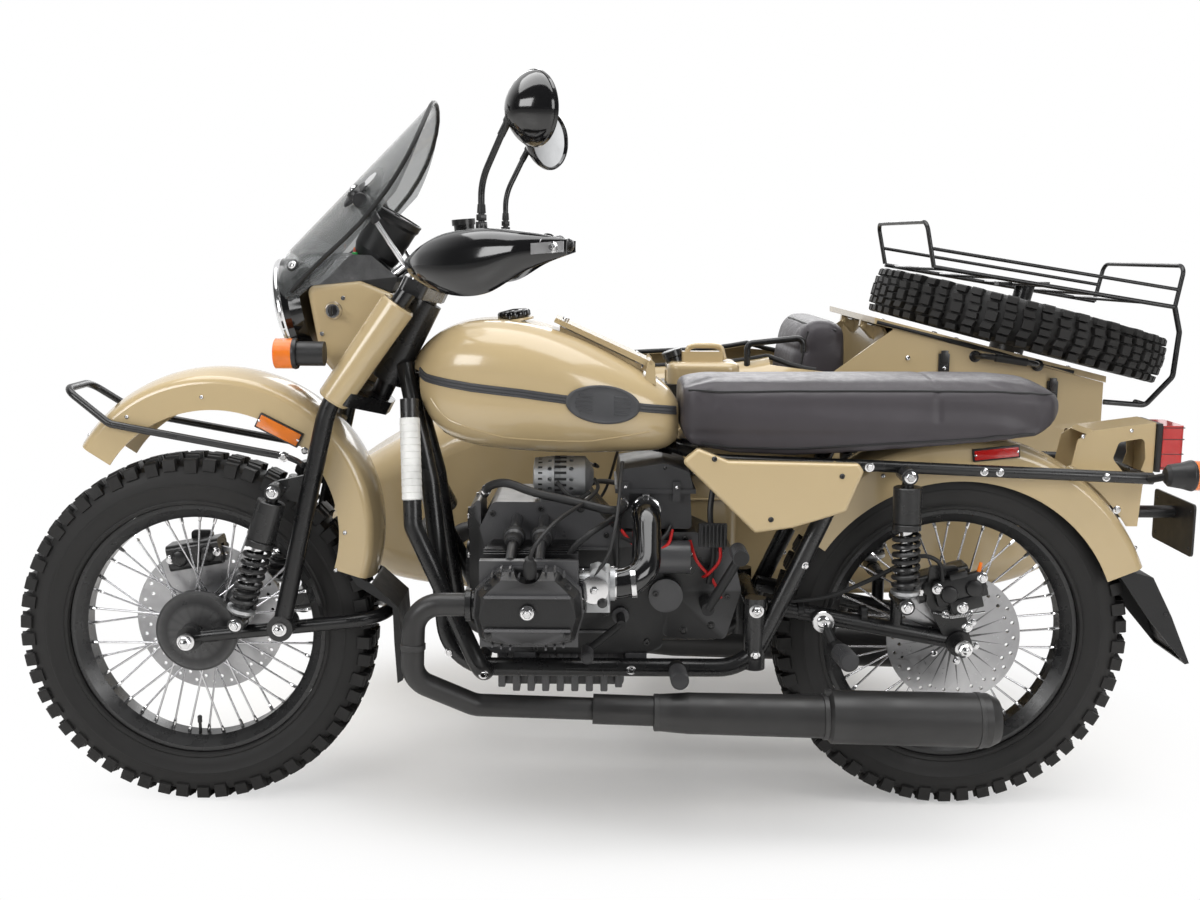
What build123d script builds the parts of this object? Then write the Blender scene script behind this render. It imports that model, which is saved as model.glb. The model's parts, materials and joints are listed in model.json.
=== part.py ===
from build123d import *
import os
from math import sin, cos, tan, radians, degrees, atan2, hypot, pi

os.makedirs("parts", exist_ok=True)

# ---------------------------------------------------------------- driving sizes (mm)
# Positions run forward (+X) from the rear axle, left (+Y) from the plane of the two
# motorcycle wheels, and up (+Z) from the ground.
WHEELBASE = 1455.0
TRACK = 1140.0
SIDECAR_LEAD = 250.0
TYRE_R = 343.0
TYRE_WIDTH = 106.0
TYRE_SHOULDER = 34.0
BEAD_R = 246.0
RIM_DEPTH = 27.0
RIM_WIDTH = 70.0
RIM_WALL = 4.0
SEAT_GAP = 0.3
RUN_GAP = 0.05
MOVE_GAP = 6.0
SPOKES = 40
SPOKE_R = 2.0
HUB_R = 34.0
HUB_FLANGE_R = 52.0
HUB_FLANGE_T = 6.0
HUB_HALF = 34.0
AXLE_R = 10.0
LEFT_REACH = 450.0
REAR_REACH = 645.0
SIDECAR_FENDER_WIDTH = 170.0

# steering
RAKE = 27.0
HEAD_X = 1005.0
HEAD_Z = 985.0
HEAD_TOP_Z = 1010.0
HEAD_LOW_Z = 800.0
STEER_TUBE_R = 19.0
HEAD_TUBE_R = 30.0
LEG_Y = 114.0
LEG_TOP_X = 1022.0
LEG_BEND_X = 1180.0
LEG_R = 17.0
BEND_Z = 785.0
LINK_PIVOT_X = 1275.0
LINK_PIVOT_Z = 373.0
LINK_R = 13.0
LINK_Y = 82.0
LINK_BACK_X = 1088.0
FRONT_SHOCK_Y = 128.0
FRONT_SHOCK_TOP = (1277.0, 634.0)
FRONT_SHOCK_LOW = (1353.0, 384.0)
SHOCK_SPRING_R = 27.0
SHOCK_WIRE_R = 4.5
SHOCK_BODY_R = 20.0

# guards
FENDER_T = 2.5
FRONT_FENDER_R = 306.0
FRONT_FENDER_X = 1402.0
FRONT_FENDER_Z = 545.0
FRONT_FENDER_WIDTH = 150.0
REAR_FENDER_R = 392.0
REAR_FENDER_WIDTH = 150.0
SIDECAR_FENDER_R = 392.0

# where the middle of the whole outfit lies
REAR_AXLE_X = -(WHEELBASE + TYRE_R - REAR_REACH) / 2
BIKE_Y = (TRACK + SIDECAR_FENDER_WIDTH / 2 - LEFT_REACH) / 2


def at(x, y, z):
    """A point given from the rear axle, the wheel plane and the ground."""
    return (REAR_AXLE_X + x, BIKE_Y + y, z)


def side(y):
    """Upright plane along the motorcycle at y, with its normal to the right."""
    return Plane(origin=at(0, y, 0), x_dir=(1, 0, 0), z_dir=(0, -1, 0))


def across(x, y, z):
    """Upright plane across the motorcycle at x, with its normal forward."""
    return Plane(origin=at(x, y, z), x_dir=(0, 1, 0), z_dir=(1, 0, 0))


def steer_x(z):
    """Where the steering axis is at height z."""
    return HEAD_X + (HEAD_Z - z) * tan(radians(RAKE))


def leg_x(z):
    """Where a fork leg is at height z."""
    if z >= BEND_Z:
        return LEG_TOP_X + (HEAD_TOP_Z - z) * (LEG_BEND_X - LEG_TOP_X) / (HEAD_TOP_Z - BEND_Z)
    share = (BEND_Z - z) / (BEND_Z - LINK_PIVOT_Z)
    return LEG_BEND_X + (LINK_PIVOT_X - LEG_BEND_X) * share


def tube(points, radius, bend, mode=Mode.ADD):
    """Round bar along straight runs joined by bends."""
    with BuildLine() as path:
        FilletPolyline(*points, radius=bend)
    with BuildSketch(Plane(origin=path.line @ 0, z_dir=path.line % 0)) as ring:
        Circle(radius)
    sweep(sections=ring.sketch, path=path.line, mode=mode)


def rod(start, end, radius, mode=Mode.ADD):
    """Straight round bar from start to end."""
    run = Vector(*end) - Vector(*start)
    with BuildSketch(Plane(origin=start, z_dir=run)) as disc:
        Circle(radius)
    extrude(to_extrude=disc.sketch, amount=run.length, mode=mode)


def plate(outline, y_left, width, corner=0, mode=Mode.ADD):
    """Flat piece with its outline along the motorcycle, width thick to the right."""
    with BuildSketch(side(y_left)) as face:
        with BuildLine() as edge:
            Polyline(*outline, close=True)
        make_face()
        if corner:
            fillet(face.vertices(), corner)
    extrude(to_extrude=face.sketch, amount=width, mode=mode)


def block(centre, size, corner=0, turn=(0, 0, 0), mode=Mode.ADD):
    """Box at a centre, with its upright edges rounded."""
    plane = Plane(Location(centre, turn)).offset(-size[2] / 2)
    with BuildSketch(plane) as face:
        if corner:
            RectangleRounded(size[0], size[1], corner)
        else:
            Rectangle(size[0], size[1])
    extrude(to_extrude=face.sketch, amount=size[2], mode=mode)


def turned(point, way, profile, mode=Mode.ADD):
    """Solid turned about the line from a point along a direction, from (distance, radius) pairs."""
    way = Vector(*way).normalized()
    beside = Vector(0, 0, 1) if abs(way.Z) < 0.9 else Vector(1, 0, 0)
    plane = Plane(origin=point, x_dir=way, z_dir=way.cross(beside))
    with BuildSketch(plane) as half:
        with BuildLine():
            Polyline((profile[0][0], 0), *profile, (profile[-1][0], 0), close=True)
        make_face()
    revolve(half.sketch, axis=Axis(point, way), mode=mode)


def finish(name, part):
    part.label = name
    export_step(part, f"parts/{name}.step")


# ---------------------------------------------------------------- wheels
RIM_OUT = BEAD_R - SEAT_GAP
RIM_IN = RIM_OUT - RIM_DEPTH
HUB_BORE = AXLE_R + RUN_GAP


def tyre_ring(centre):
    """Knobbly tyre as one ring, out to the tips of the lugs."""
    half = TYRE_WIDTH / 2
    bead = RIM_WIDTH / 2
    section = Plane(origin=centre, x_dir=(0, 1, 0), z_dir=(1, 0, 0))
    with BuildSketch(section) as profile:
        with BuildLine():
            Line((-bead, BEAD_R), (bead, BEAD_R))
            ThreePointArc((bead, BEAD_R), (half - 5, BEAD_R + 12), (half, BEAD_R + TYRE_SHOULDER))
            Line((half, BEAD_R + TYRE_SHOULDER), (half, TYRE_R - TYRE_SHOULDER))
            ThreePointArc((half, TYRE_R - TYRE_SHOULDER), (half - 8, TYRE_R - 13), (half - 27, TYRE_R - 3))
            ThreePointArc((half - 27, TYRE_R - 3), (0, TYRE_R), (27 - half, TYRE_R - 3))
            ThreePointArc((27 - half, TYRE_R - 3), (8 - half, TYRE_R - 13), (-half, TYRE_R - TYRE_SHOULDER))
            Line((-half, TYRE_R - TYRE_SHOULDER), (-half, BEAD_R + TYRE_SHOULDER))
            ThreePointArc((-half, BEAD_R + TYRE_SHOULDER), (5 - half, BEAD_R + 12), (-bead, BEAD_R))
        make_face()
    revolve(profile.sketch, axis=Axis(centre, (0, 1, 0)))


def wire_wheel(centre):
    """Rim, spokes and hub about a cross axle."""
    spin = Axis(centre, (0, 1, 0))
    section = Plane(origin=centre, x_dir=(0, 1, 0), z_dir=(1, 0, 0))
    half = RIM_WIDTH / 2
    with BuildSketch(section) as rim:
        with BuildLine():
            Polyline(
                (-half, RIM_OUT),
                (-half, RIM_OUT - 2 * RIM_WALL),
                (-half / 2, RIM_IN),
                (half / 2, RIM_IN),
                (half, RIM_OUT - 2 * RIM_WALL),
                (half, RIM_OUT),
                (half - RIM_WALL, RIM_OUT),
                (half / 2 - RIM_WALL / 2, RIM_IN + RIM_WALL),
                (RIM_WALL / 2 - half / 2, RIM_IN + RIM_WALL),
                (RIM_WALL - half, RIM_OUT),
                close=True,
            )
        make_face()
    revolve(rim.sketch, axis=spin)
    with BuildSketch(section) as hub:
        with BuildLine():
            Polyline(
                (-HUB_HALF, HUB_BORE),
                (-HUB_HALF, HUB_FLANGE_R),
                (HUB_FLANGE_T - HUB_HALF, HUB_FLANGE_R),
                (HUB_FLANGE_T - HUB_HALF, HUB_R),
                (HUB_HALF - HUB_FLANGE_T, HUB_R),
                (HUB_HALF - HUB_FLANGE_T, HUB_FLANGE_R),
                (HUB_HALF, HUB_FLANGE_R),
                (HUB_HALF, HUB_BORE),
                close=True,
            )
        make_face()
    revolve(hub.sketch, axis=spin)
    pitch = 360 / SPOKES
    for i in range(SPOKES):
        flange = HUB_HALF - HUB_FLANGE_T / 2
        y = flange if i % 2 else -flange
        lead = 3 if i % 4 < 2 else -3
        a = radians(i * pitch)
        b = radians((i + lead) * pitch)
        r0 = HUB_FLANGE_R - 6
        r1 = RIM_IN + RIM_WALL / 2
        inner = (centre[0] + r0 * cos(b), centre[1] + y, centre[2] + r0 * sin(b))
        outer = (centre[0] + r1 * cos(a), centre[1] + y / 5, centre[2] + r1 * sin(a))
        rod(inner, outer, SPOKE_R)


FRONT_AXLE = at(WHEELBASE, 0, TYRE_R)
REAR_AXLE = at(0, 0, TYRE_R)
SIDE_AXLE = at(SIDECAR_LEAD, -TRACK, TYRE_R)
SPARE_TILT = 14.0
SPARE_X = -303.0
SPARE_Y = -640.0
SPARE_Z = 904.0
DISC_T = 5.0
FRONT_DISC_R = 147.5
REAR_DISC_R = 128.0
SIDE_DISC_R = 122.5
DISC_BORE_R = 40.0
DISC_HOLE_R = 3.5
DISC_HOLES = 24
DISC_Y = 58.0
HUB_COVER_R = 79.0

with BuildPart() as proto_tyre:
    tyre_ring((0, 0, 0))

with BuildPart() as proto_wheel:
    wire_wheel((0, 0, 0))


def brake_disc(centre, radius):
    """Drilled disc on a carrier that reaches the hub flange."""
    to_hub = 1 if centre[1] < 0 else -1
    with BuildPart() as disc:
        with BuildSketch(Plane(origin=centre, x_dir=(1, 0, 0), z_dir=(0, -1, 0))) as face:
            Circle(radius)
            Circle(DISC_BORE_R, mode=Mode.SUBTRACT)
            with PolarLocations(radius - 12, DISC_HOLES):
                Circle(DISC_HOLE_R, mode=Mode.SUBTRACT)
            with PolarLocations(radius - 24, DISC_HOLES, start_angle=180 / DISC_HOLES):
                Circle(DISC_HOLE_R, mode=Mode.SUBTRACT)
        extrude(to_extrude=face.sketch, amount=DISC_T / 2, both=True)
        rod(
            (centre[0], to_hub * -1 * (HUB_HALF - 1), centre[2]),
            (centre[0], centre[1] + to_hub * -1 * DISC_T / 2, centre[2]),
            HUB_FLANGE_R,
        )
        rod(
            (centre[0], 0, centre[2]),
            (centre[0], centre[1] * 2, centre[2]),
            HUB_BORE + 8,
            mode=Mode.SUBTRACT,
        )
    return disc.part


def place(part, centre, tilt=(0, 0, 0)):
    return Location(centre, tilt) * part


with BuildPart() as front_tyre:
    add(place(proto_tyre.part, FRONT_AXLE))
with BuildPart() as rear_tyre:
    add(place(proto_tyre.part, REAR_AXLE))
with BuildPart() as sidecar_tyre:
    add(place(proto_tyre.part, SIDE_AXLE))
SPARE = at(SPARE_X, SPARE_Y, SPARE_Z)
SPARE_TURN = (90, 0, 0)
with BuildPart() as spare_tyre:
    add(Location(SPARE, (0, -SPARE_TILT, 0)) * Location((0, 0, 0), SPARE_TURN) * proto_tyre.part)
with BuildPart() as front_wheel:
    add(place(proto_wheel.part, FRONT_AXLE))
    add(place(brake_disc((0, -DISC_Y, 0), FRONT_DISC_R), FRONT_AXLE))
    turned(
        at(WHEELBASE, HUB_HALF - 2, TYRE_R),
        (0, 1, 0),
        [(0, 60), (2, HUB_COVER_R), (12, HUB_COVER_R), (16, HUB_COVER_R - 5), (18, HUB_COVER_R - 30)],
    )
    rod(at(WHEELBASE, 100, TYRE_R), at(WHEELBASE, -100, TYRE_R), HUB_BORE, mode=Mode.SUBTRACT)
with BuildPart() as rear_wheel:
    add(place(proto_wheel.part, REAR_AXLE))
    add(place(brake_disc((0, DISC_Y, 0), REAR_DISC_R), REAR_AXLE))
with BuildPart() as sidecar_wheel:
    add(place(proto_wheel.part, SIDE_AXLE))
    add(place(brake_disc((0, DISC_Y, 0), SIDE_DISC_R), SIDE_AXLE))
with BuildPart() as spare_wheel:
    add(Location(SPARE, (0, -SPARE_TILT, 0)) * Location((0, 0, 0), SPARE_TURN) * proto_wheel.part)
for wheel_name, wheel in (
    ("front_tyre", front_tyre),
    ("rear_tyre", rear_tyre),
    ("sidecar_tyre", sidecar_tyre),
    ("spare_tyre", spare_tyre),
    ("front_wheel", front_wheel),
    ("rear_wheel", rear_wheel),
    ("sidecar_wheel", sidecar_wheel),
    ("spare_wheel", spare_wheel),
):
    finish(wheel_name, wheel.part)


# ---------------------------------------------------------------- fork
LUG_R = 24.0
BRACKET_T = 8.0
CALIPER_HALF = DISC_T / 2 + MOVE_GAP + 22
PLATE_T = 12.0
YOKE_T = 26.0
EYE_HALF = 18.0
EYE_CLEAR = 20.0
EYE_R = 15.0
PIVOT_PIN_R = 9.0


def both_sides(y):
    return (y, -y)


def shock(top, low, y):
    """Damper with its spring between two eyes, standing in the plane at y."""
    a = Vector(*at(top[0], y, top[1]))
    b = Vector(*at(low[0], y, low[1]))
    run = b - a
    length = run.length
    spring_top = 0.42 * length
    spring_low = 0.88 * length
    coils = 8
    pitch = (spring_low - spring_top) / coils
    axis_plane = Plane(origin=a, x_dir=(0, 1, 0), z_dir=run.cross(Vector(0, 1, 0)))
    with BuildSketch(axis_plane) as half:
        with BuildLine():
            Polyline(
                (0, EYE_R - 2),
                (EYE_R - 3, EYE_R - 2),
                (EYE_R - 3, EYE_CLEAR),
                (SHOCK_BODY_R + 6, EYE_CLEAR),
                (SHOCK_BODY_R + 6, spring_top - 2),
                (SHOCK_SPRING_R - SHOCK_WIRE_R, spring_top - 2),
                (SHOCK_SPRING_R - SHOCK_WIRE_R, spring_low + 2),
                (SHOCK_BODY_R, spring_low + 2),
                (SHOCK_BODY_R, length - EYE_CLEAR),
                (EYE_R - 3, length - EYE_CLEAR),
                (EYE_R - 3, length - EYE_R + 2),
                (0, length - EYE_R + 2),
                close=True,
            )
        make_face()
        for i in range(coils):
            with Locations((SHOCK_SPRING_R - SHOCK_WIRE_R, spring_top + (i + 0.5) * pitch)):
                Circle(SHOCK_WIRE_R)
    face = half.sketch
    if (face.center() - a).dot(run) < 0:
        face = face.rotate(Axis(a, (0, 1, 0)), 180)
    revolve(face, axis=Axis(a, run))
    for point in (a, b):
        rod(point - Vector(0, EYE_HALF, 0), point + Vector(0, EYE_HALF, 0), EYE_R)


def yoke(z, grow=0, mode=Mode.ADD):
    """Fork bridge square to the steering axis, narrow at the stem and wide at the legs."""
    lean = radians(RAKE)
    centre = Vector(*at(steer_x(z), 0, z))
    plane = Plane(origin=centre, x_dir=(cos(lean), 0, sin(lean)), z_dir=(-sin(lean), 0, cos(lean)))
    lead = (leg_x(z + YOKE_T / 2) - steer_x(z)) * cos(lean)
    reach = LEG_Y + LEG_R + 4 + grow
    with BuildSketch(plane) as face:
        with BuildLine():
            Polyline(
                (-STEER_TUBE_R - 9 - grow, -26 - grow),
                (lead - LEG_R - 6 - grow, -reach),
                (lead + LEG_R + 6 + grow, -reach),
                (lead + LEG_R + 12 + grow, -40),
                (lead + LEG_R + 12 + grow, 40),
                (lead + LEG_R + 6 + grow, reach),
                (lead - LEG_R - 6 - grow, reach),
                (-STEER_TUBE_R - 9 - grow, 26 + grow),
                close=True,
            )
        make_face()
        fillet(face.vertices(), 10)
    extrude(to_extrude=face.sketch, amount=YOKE_T / 2 + grow, both=True, mode=mode)


with BuildPart() as fork:
    stem_low = HEAD_LOW_Z - YOKE_T
    rod(at(steer_x(stem_low), 0, stem_low), at(steer_x(HEAD_TOP_Z), 0, HEAD_TOP_Z), STEER_TUBE_R)
    for y in both_sides(LEG_Y):
        tube(
            [
                at(leg_x(HEAD_TOP_Z), y, HEAD_TOP_Z),
                at(leg_x(BEND_Z), y, BEND_Z),
                at(leg_x(LINK_PIVOT_Z), y, LINK_PIVOT_Z),
            ],
            LEG_R,
            150,
        )
        inner = LINK_Y + LINK_R + SEAT_GAP
        s = 1 if y > 0 else -1
        rod(at(LINK_PIVOT_X, s * inner, LINK_PIVOT_Z), at(LINK_PIVOT_X, y + s * LEG_R, LINK_PIVOT_Z), LUG_R)
        shock_face = FRONT_SHOCK_Y - EYE_HALF - SEAT_GAP
        top_x, top_z = FRONT_SHOCK_TOP
        left = shock_face if s > 0 else -(shock_face - PLATE_T)
        plate(
            [
                (leg_x(top_z + 30), top_z + 30),
                (top_x, top_z + 15),
                (top_x + 15, top_z),
                (top_x, top_z - 15),
                (leg_x(top_z - 30), top_z - 30),
            ],
            left,
            PLATE_T,
            5,
        )
    yoke(HEAD_LOW_Z - YOKE_T / 2)
    yoke(HEAD_TOP_Z - YOKE_T / 2)
finish("fork", fork.part)

with BuildPart() as leading_link:
    low = (LINK_BACK_X, LINK_PIVOT_Z + 8)
    tube(
        [
            at(WHEELBASE, LINK_Y, TYRE_R),
            at(low[0], LINK_Y, low[1]),
            at(low[0], -LINK_Y, low[1]),
            at(WHEELBASE, -LINK_Y, TYRE_R),
        ],
        LINK_R,
        70,
    )
    for s in (1, -1):
        inner = s * (LINK_Y - LINK_R + 1)
        outer = s * (LINK_Y + LINK_R - 1)
        rod(at(WHEELBASE, inner, TYRE_R), at(WHEELBASE, outer, TYRE_R), LUG_R)
        rod(at(LINK_PIVOT_X, inner, LINK_PIVOT_Z), at(LINK_PIVOT_X, outer, LINK_PIVOT_Z), LUG_R)
        shock_face = s * (FRONT_SHOCK_Y - EYE_HALF - SEAT_GAP)
        rod(at(FRONT_SHOCK_LOW[0], inner, FRONT_SHOCK_LOW[1]), at(FRONT_SHOCK_LOW[0], shock_face, FRONT_SHOCK_LOW[1]), 16)
    rod(at(WHEELBASE, -LINK_Y - LINK_R - 20, TYRE_R), at(WHEELBASE, LINK_Y + LINK_R + 20, TYRE_R), AXLE_R)
    # brake bracket up to the caliper
    plate(
        [
            (WHEELBASE - 22, TYRE_R + 8),
            (WHEELBASE + 22, TYRE_R + 8),
            (WHEELBASE + 44, TYRE_R + 92),
            (WHEELBASE + 44, TYRE_R + 170),
            (WHEELBASE + 2, TYRE_R + 170),
        ],
        -DISC_Y - CALIPER_HALF - SEAT_GAP,
        BRACKET_T,
        8,
    )
finish("leading_link", leading_link.part)

with BuildPart() as front_shocks:
    for y in both_sides(FRONT_SHOCK_Y):
        shock(FRONT_SHOCK_TOP, FRONT_SHOCK_LOW, y)
finish("front_shocks", front_shocks.part)


def guard_line(half, radius, crown, low):
    """Half-round section of a mudguard: two skirts, two corners and a crown."""
    with BuildLine(Plane.XY) as edge:
        Line((-half, low), (-half, radius - crown - 14))
        ThreePointArc(
            (-half, radius - crown - 14), (-half + 5, radius - crown - 4), (-half + 16, radius - crown + 2)
        )
        ThreePointArc((-half + 16, radius - crown + 2), (0, radius), (half - 16, radius - crown + 2))
        ThreePointArc(
            (half - 16, radius - crown + 2), (half - 5, radius - crown - 4), (half, radius - crown - 14)
        )
        Line((half, radius - crown - 14), (half, low))
        Line((half, low), (-half, low))
    return edge.line


def guard(centre, radius, width, skirt, start, sweep_angle):
    """Mudguard: crowned strip with side skirts, swept round a cross axis.
    Angles run from straight ahead, upwards and over to the rear."""
    half = width / 2
    crown = 12
    a = radians(start)
    turned = Plane(origin=centre, x_dir=(0, 1, 0), z_dir=(sin(a), 0, -cos(a)))
    with BuildSketch(turned) as section:
        with BuildLine():
            add(guard_line(half, radius, crown, radius - skirt))
        make_face()
        with BuildLine():
            add(guard_line(half - FENDER_T, radius - FENDER_T, crown, radius - 2 * skirt))
        make_face(mode=Mode.SUBTRACT)
    revolve(section.sketch, axis=Axis(centre, (0, -1, 0)), revolution_arc=sweep_angle)


with BuildPart() as front_fender:
    guard(at(FRONT_FENDER_X, 0, FRONT_FENDER_Z), FRONT_FENDER_R, FRONT_FENDER_WIDTH, 75, 33, 165)
    for z in (690, 740):
        for sgn in (1, -1):
            y0 = sgn * (FRONT_FENDER_WIDTH / 2 - 1)
            y1 = sgn * (LEG_Y - LEG_R - SEAT_GAP)
            rod(at(leg_x(z), y0, z), at(leg_x(z), y1, z), 8)
finish("front_fender", front_fender.part)

FLAP_T = 4.0
FRONT_FLAP_HALF = FRONT_FENDER_WIDTH / 2 - FENDER_T - SEAT_GAP
with BuildPart() as front_flap:
    plate(
        [
            (1180, 505), (1134, 496), (1146, 463), (1110, 444), (1062, 400), (1058, 340), (1056, 256), (1066, 250),
            (1071, 330), (1073, 399), (1140, 442),
        ],
        FRONT_FLAP_HALF,
        2 * FRONT_FLAP_HALF,
    )
    plate(
        [
            (1200, 520), (1100, 520), (1100, 446), (1113, 446), (1114.5, 441), (1066, 398), (1062, 340), (1060, 262), (1070, 256),
            (1078, 330), (1080, 399), (1160, 440),
        ],
        FRONT_FLAP_HALF - FLAP_T,
        2 * (FRONT_FLAP_HALF - FLAP_T),
        mode=Mode.SUBTRACT,
    )
finish("front_flap", front_flap.part)

BUMPER_R = 7.0
with BuildPart() as front_bumper:
    mount_y = FRONT_FENDER_WIDTH / 2 + BUMPER_R + 3 * SEAT_GAP
    tube(
        [
            at(1262, mount_y, 690),
            at(1590, mount_y, 750),
            at(1676, 60, 812),
            at(1676, -60, 812),
            at(1590, -mount_y, 750),
            at(1262, -mount_y, 690),
        ],
        BUMPER_R,
        30,
    )
finish("front_bumper", front_bumper.part)

# ---------------------------------------------------------------- lamp, screen and bars
LAMP_X = 1255.0
LAMP_Z = 968.0
LAMP_R = 90.0
NACELLE_HALF = 92.0
SCREEN_T = 4.0
SCREEN_R = 190.0
SCREEN_LENGTH = 383.0
BAR_R = 11.0
GRIP_R = 15.5
MIRROR_R = 60.0

SHROUD_R = 30.0
SHROUD_TOP_Z = 976.0
SHROUD_LOW_Z = 800.0
with BuildPart() as nacelle:
    plate(
        [(1218, 1006), (1120, 1016), (1058, 992), (1060, 962), (1138, 850), (1170, 846), (1196, 878)],
        NACELLE_HALF,
        2 * NACELLE_HALF,
        14,
    )
    fillet(nacelle.edges().filter_by(GeomType.LINE).group_by(Axis.Y)[-1], 12)
    fillet(nacelle.edges().filter_by(GeomType.LINE).group_by(Axis.Y)[0], 12)
    # covers round the upper fork legs
    for y in both_sides(LEG_Y):
        low = Vector(*at(leg_x(SHROUD_LOW_Z), y, SHROUD_LOW_Z))
        high = Vector(*at(leg_x(SHROUD_TOP_Z), y, SHROUD_TOP_Z))
        run = (high - low).length
        turned(low, high - low, [(0, SHROUD_R - 3), (4, SHROUD_R), (run - 4, SHROUD_R + 3), (run, SHROUD_R)])
    for y in both_sides(LEG_Y):
        low = Vector(*at(leg_x(BEND_Z), y, BEND_Z))
        high = Vector(*at(leg_x(HEAD_TOP_Z), y, HEAD_TOP_Z))
        rod(low - (high - low), high, LEG_R + SEAT_GAP, mode=Mode.SUBTRACT)
        tube(
            [
                at(leg_x(HEAD_TOP_Z), y, HEAD_TOP_Z),
                at(leg_x(BEND_Z), y, BEND_Z),
                at(leg_x(LINK_PIVOT_Z), y, LINK_PIVOT_Z),
            ],
            LEG_R + SEAT_GAP,
            150,
            Mode.SUBTRACT,
        )
    yoke(HEAD_LOW_Z - YOKE_T / 2, SEAT_GAP, Mode.SUBTRACT)
    # room for the steering head
    rod(at(steer_x(700), 0, 700), at(steer_x(1100), 0, 1100), HEAD_TUBE_R + 8, mode=Mode.SUBTRACT)
    yoke(HEAD_TOP_Z - YOKE_T / 2, SEAT_GAP, Mode.SUBTRACT)
finish("nacelle", nacelle.part)

LAMP_FACE = ((1196, 878), (1218, 1006))
LAMP_TILT = atan2(LAMP_FACE[1][0] - LAMP_FACE[0][0], LAMP_FACE[1][1] - LAMP_FACE[0][1])
LAMP_MOUNT_Z = 974.0
LAMP_AT = at(LAMP_FACE[0][0] + (LAMP_MOUNT_Z - LAMP_FACE[0][1]) * tan(LAMP_TILT), 0, LAMP_MOUNT_Z)
LAMP_WAY = (cos(LAMP_TILT), 0, -sin(LAMP_TILT))
with BuildPart() as headlight:
    turned(
        LAMP_AT,
        LAMP_WAY,
        [
            (SEAT_GAP, 24),
            (4, 34),
            (18, LAMP_R - 12),
            (38, LAMP_R - 1),
            (50, LAMP_R + 1),
            (56, LAMP_R - 1),
            (56, LAMP_R - 7),
            (44, LAMP_R - 10),
            (26, LAMP_R - 30),
            (18, 20),
        ],
    )
finish("headlight", headlight.part)

with BuildPart() as headlight_glass:
    turned(
        LAMP_AT,
        LAMP_WAY,
        [
            (56 + SEAT_GAP, LAMP_R - 1),
            (60, LAMP_R - 1),
            (70, LAMP_R * 0.72),
            (77, LAMP_R * 0.4),
            (80, 2),
        ],
    )
    turned(LAMP_AT, LAMP_WAY, [(40, LAMP_R - 8), (56, LAMP_R - 8), (66, LAMP_R * 0.68), (73, LAMP_R * 0.36), (76, 1)], Mode.SUBTRACT)
finish("headlight_glass", headlight_glass.part)

SCREEN_SLOPE = Vector(-cos(radians(45)), 0, sin(radians(45)))
SCREEN_FACE = Vector(sin(radians(45)), 0, cos(radians(45)))
SCREEN_FOOT = Vector(*at(1262, 0, 1072))
SCREEN_LOW_R = 104.0
SCREEN_HIGH_R = 235.0
SCREEN_LOW = -62.0


def screen_bow(along, radius, reach):
    """Curved section of the windscreen at a height along its slope."""
    centre = SCREEN_FOOT + SCREEN_SLOPE * along
    with BuildSketch(Plane(origin=centre, x_dir=(0, 1, 0), z_dir=SCREEN_SLOPE)) as bow:
        with BuildLine():
            inner = radius - SCREEN_T
            a = radians(reach)
            ThreePointArc(
                (-radius * sin(a), radius * (1 - cos(a))), (0, 0), (radius * sin(a), radius * (1 - cos(a)))
            )
            Line((radius * sin(a), radius * (1 - cos(a))), (inner * sin(a), radius - inner * cos(a)))
            ThreePointArc(
                (inner * sin(a), radius - inner * cos(a)), (0, SCREEN_T), (-inner * sin(a), radius - inner * cos(a))
            )
            Line((-inner * sin(a), radius - inner * cos(a)), (-radius * sin(a), radius * (1 - cos(a))))
        make_face()
    return bow.sketch


SCREEN_EDGE = ((0, 383), (55, 374), (104, 342), (134, 286), (142, 220), (136, 142), (118, 50), (101, -40))
with BuildPart() as windshield:
    loft([screen_bow(SCREEN_LOW, SCREEN_LOW_R, 84), screen_bow(SCREEN_LENGTH + 10, SCREEN_HIGH_R, 46)], ruled=True)
    with BuildSketch(Plane(origin=SCREEN_FOOT, x_dir=(0, 1, 0), z_dir=SCREEN_FACE)) as front:
        for sgn in (1, -1):
            with BuildLine():
                Spline(*[(sgn * u, v) for u, v in SCREEN_EDGE])
                Polyline((sgn * 101, -40), (sgn * 96, -56), (sgn * 84, -56), (sgn * 70, -26), (sgn * 40, -8), (0, -6), (0, 383))
            make_face()
    extrude(to_extrude=front.sketch, amount=300, both=True, mode=Mode.INTERSECT)
    # clear of the lamp
    turned(LAMP_AT, LAMP_WAY, [(0, 38), (14, LAMP_R - 8), (34, LAMP_R + 2), (90, LAMP_R + 4)], Mode.SUBTRACT)
finish("windshield", windshield.part)

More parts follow.
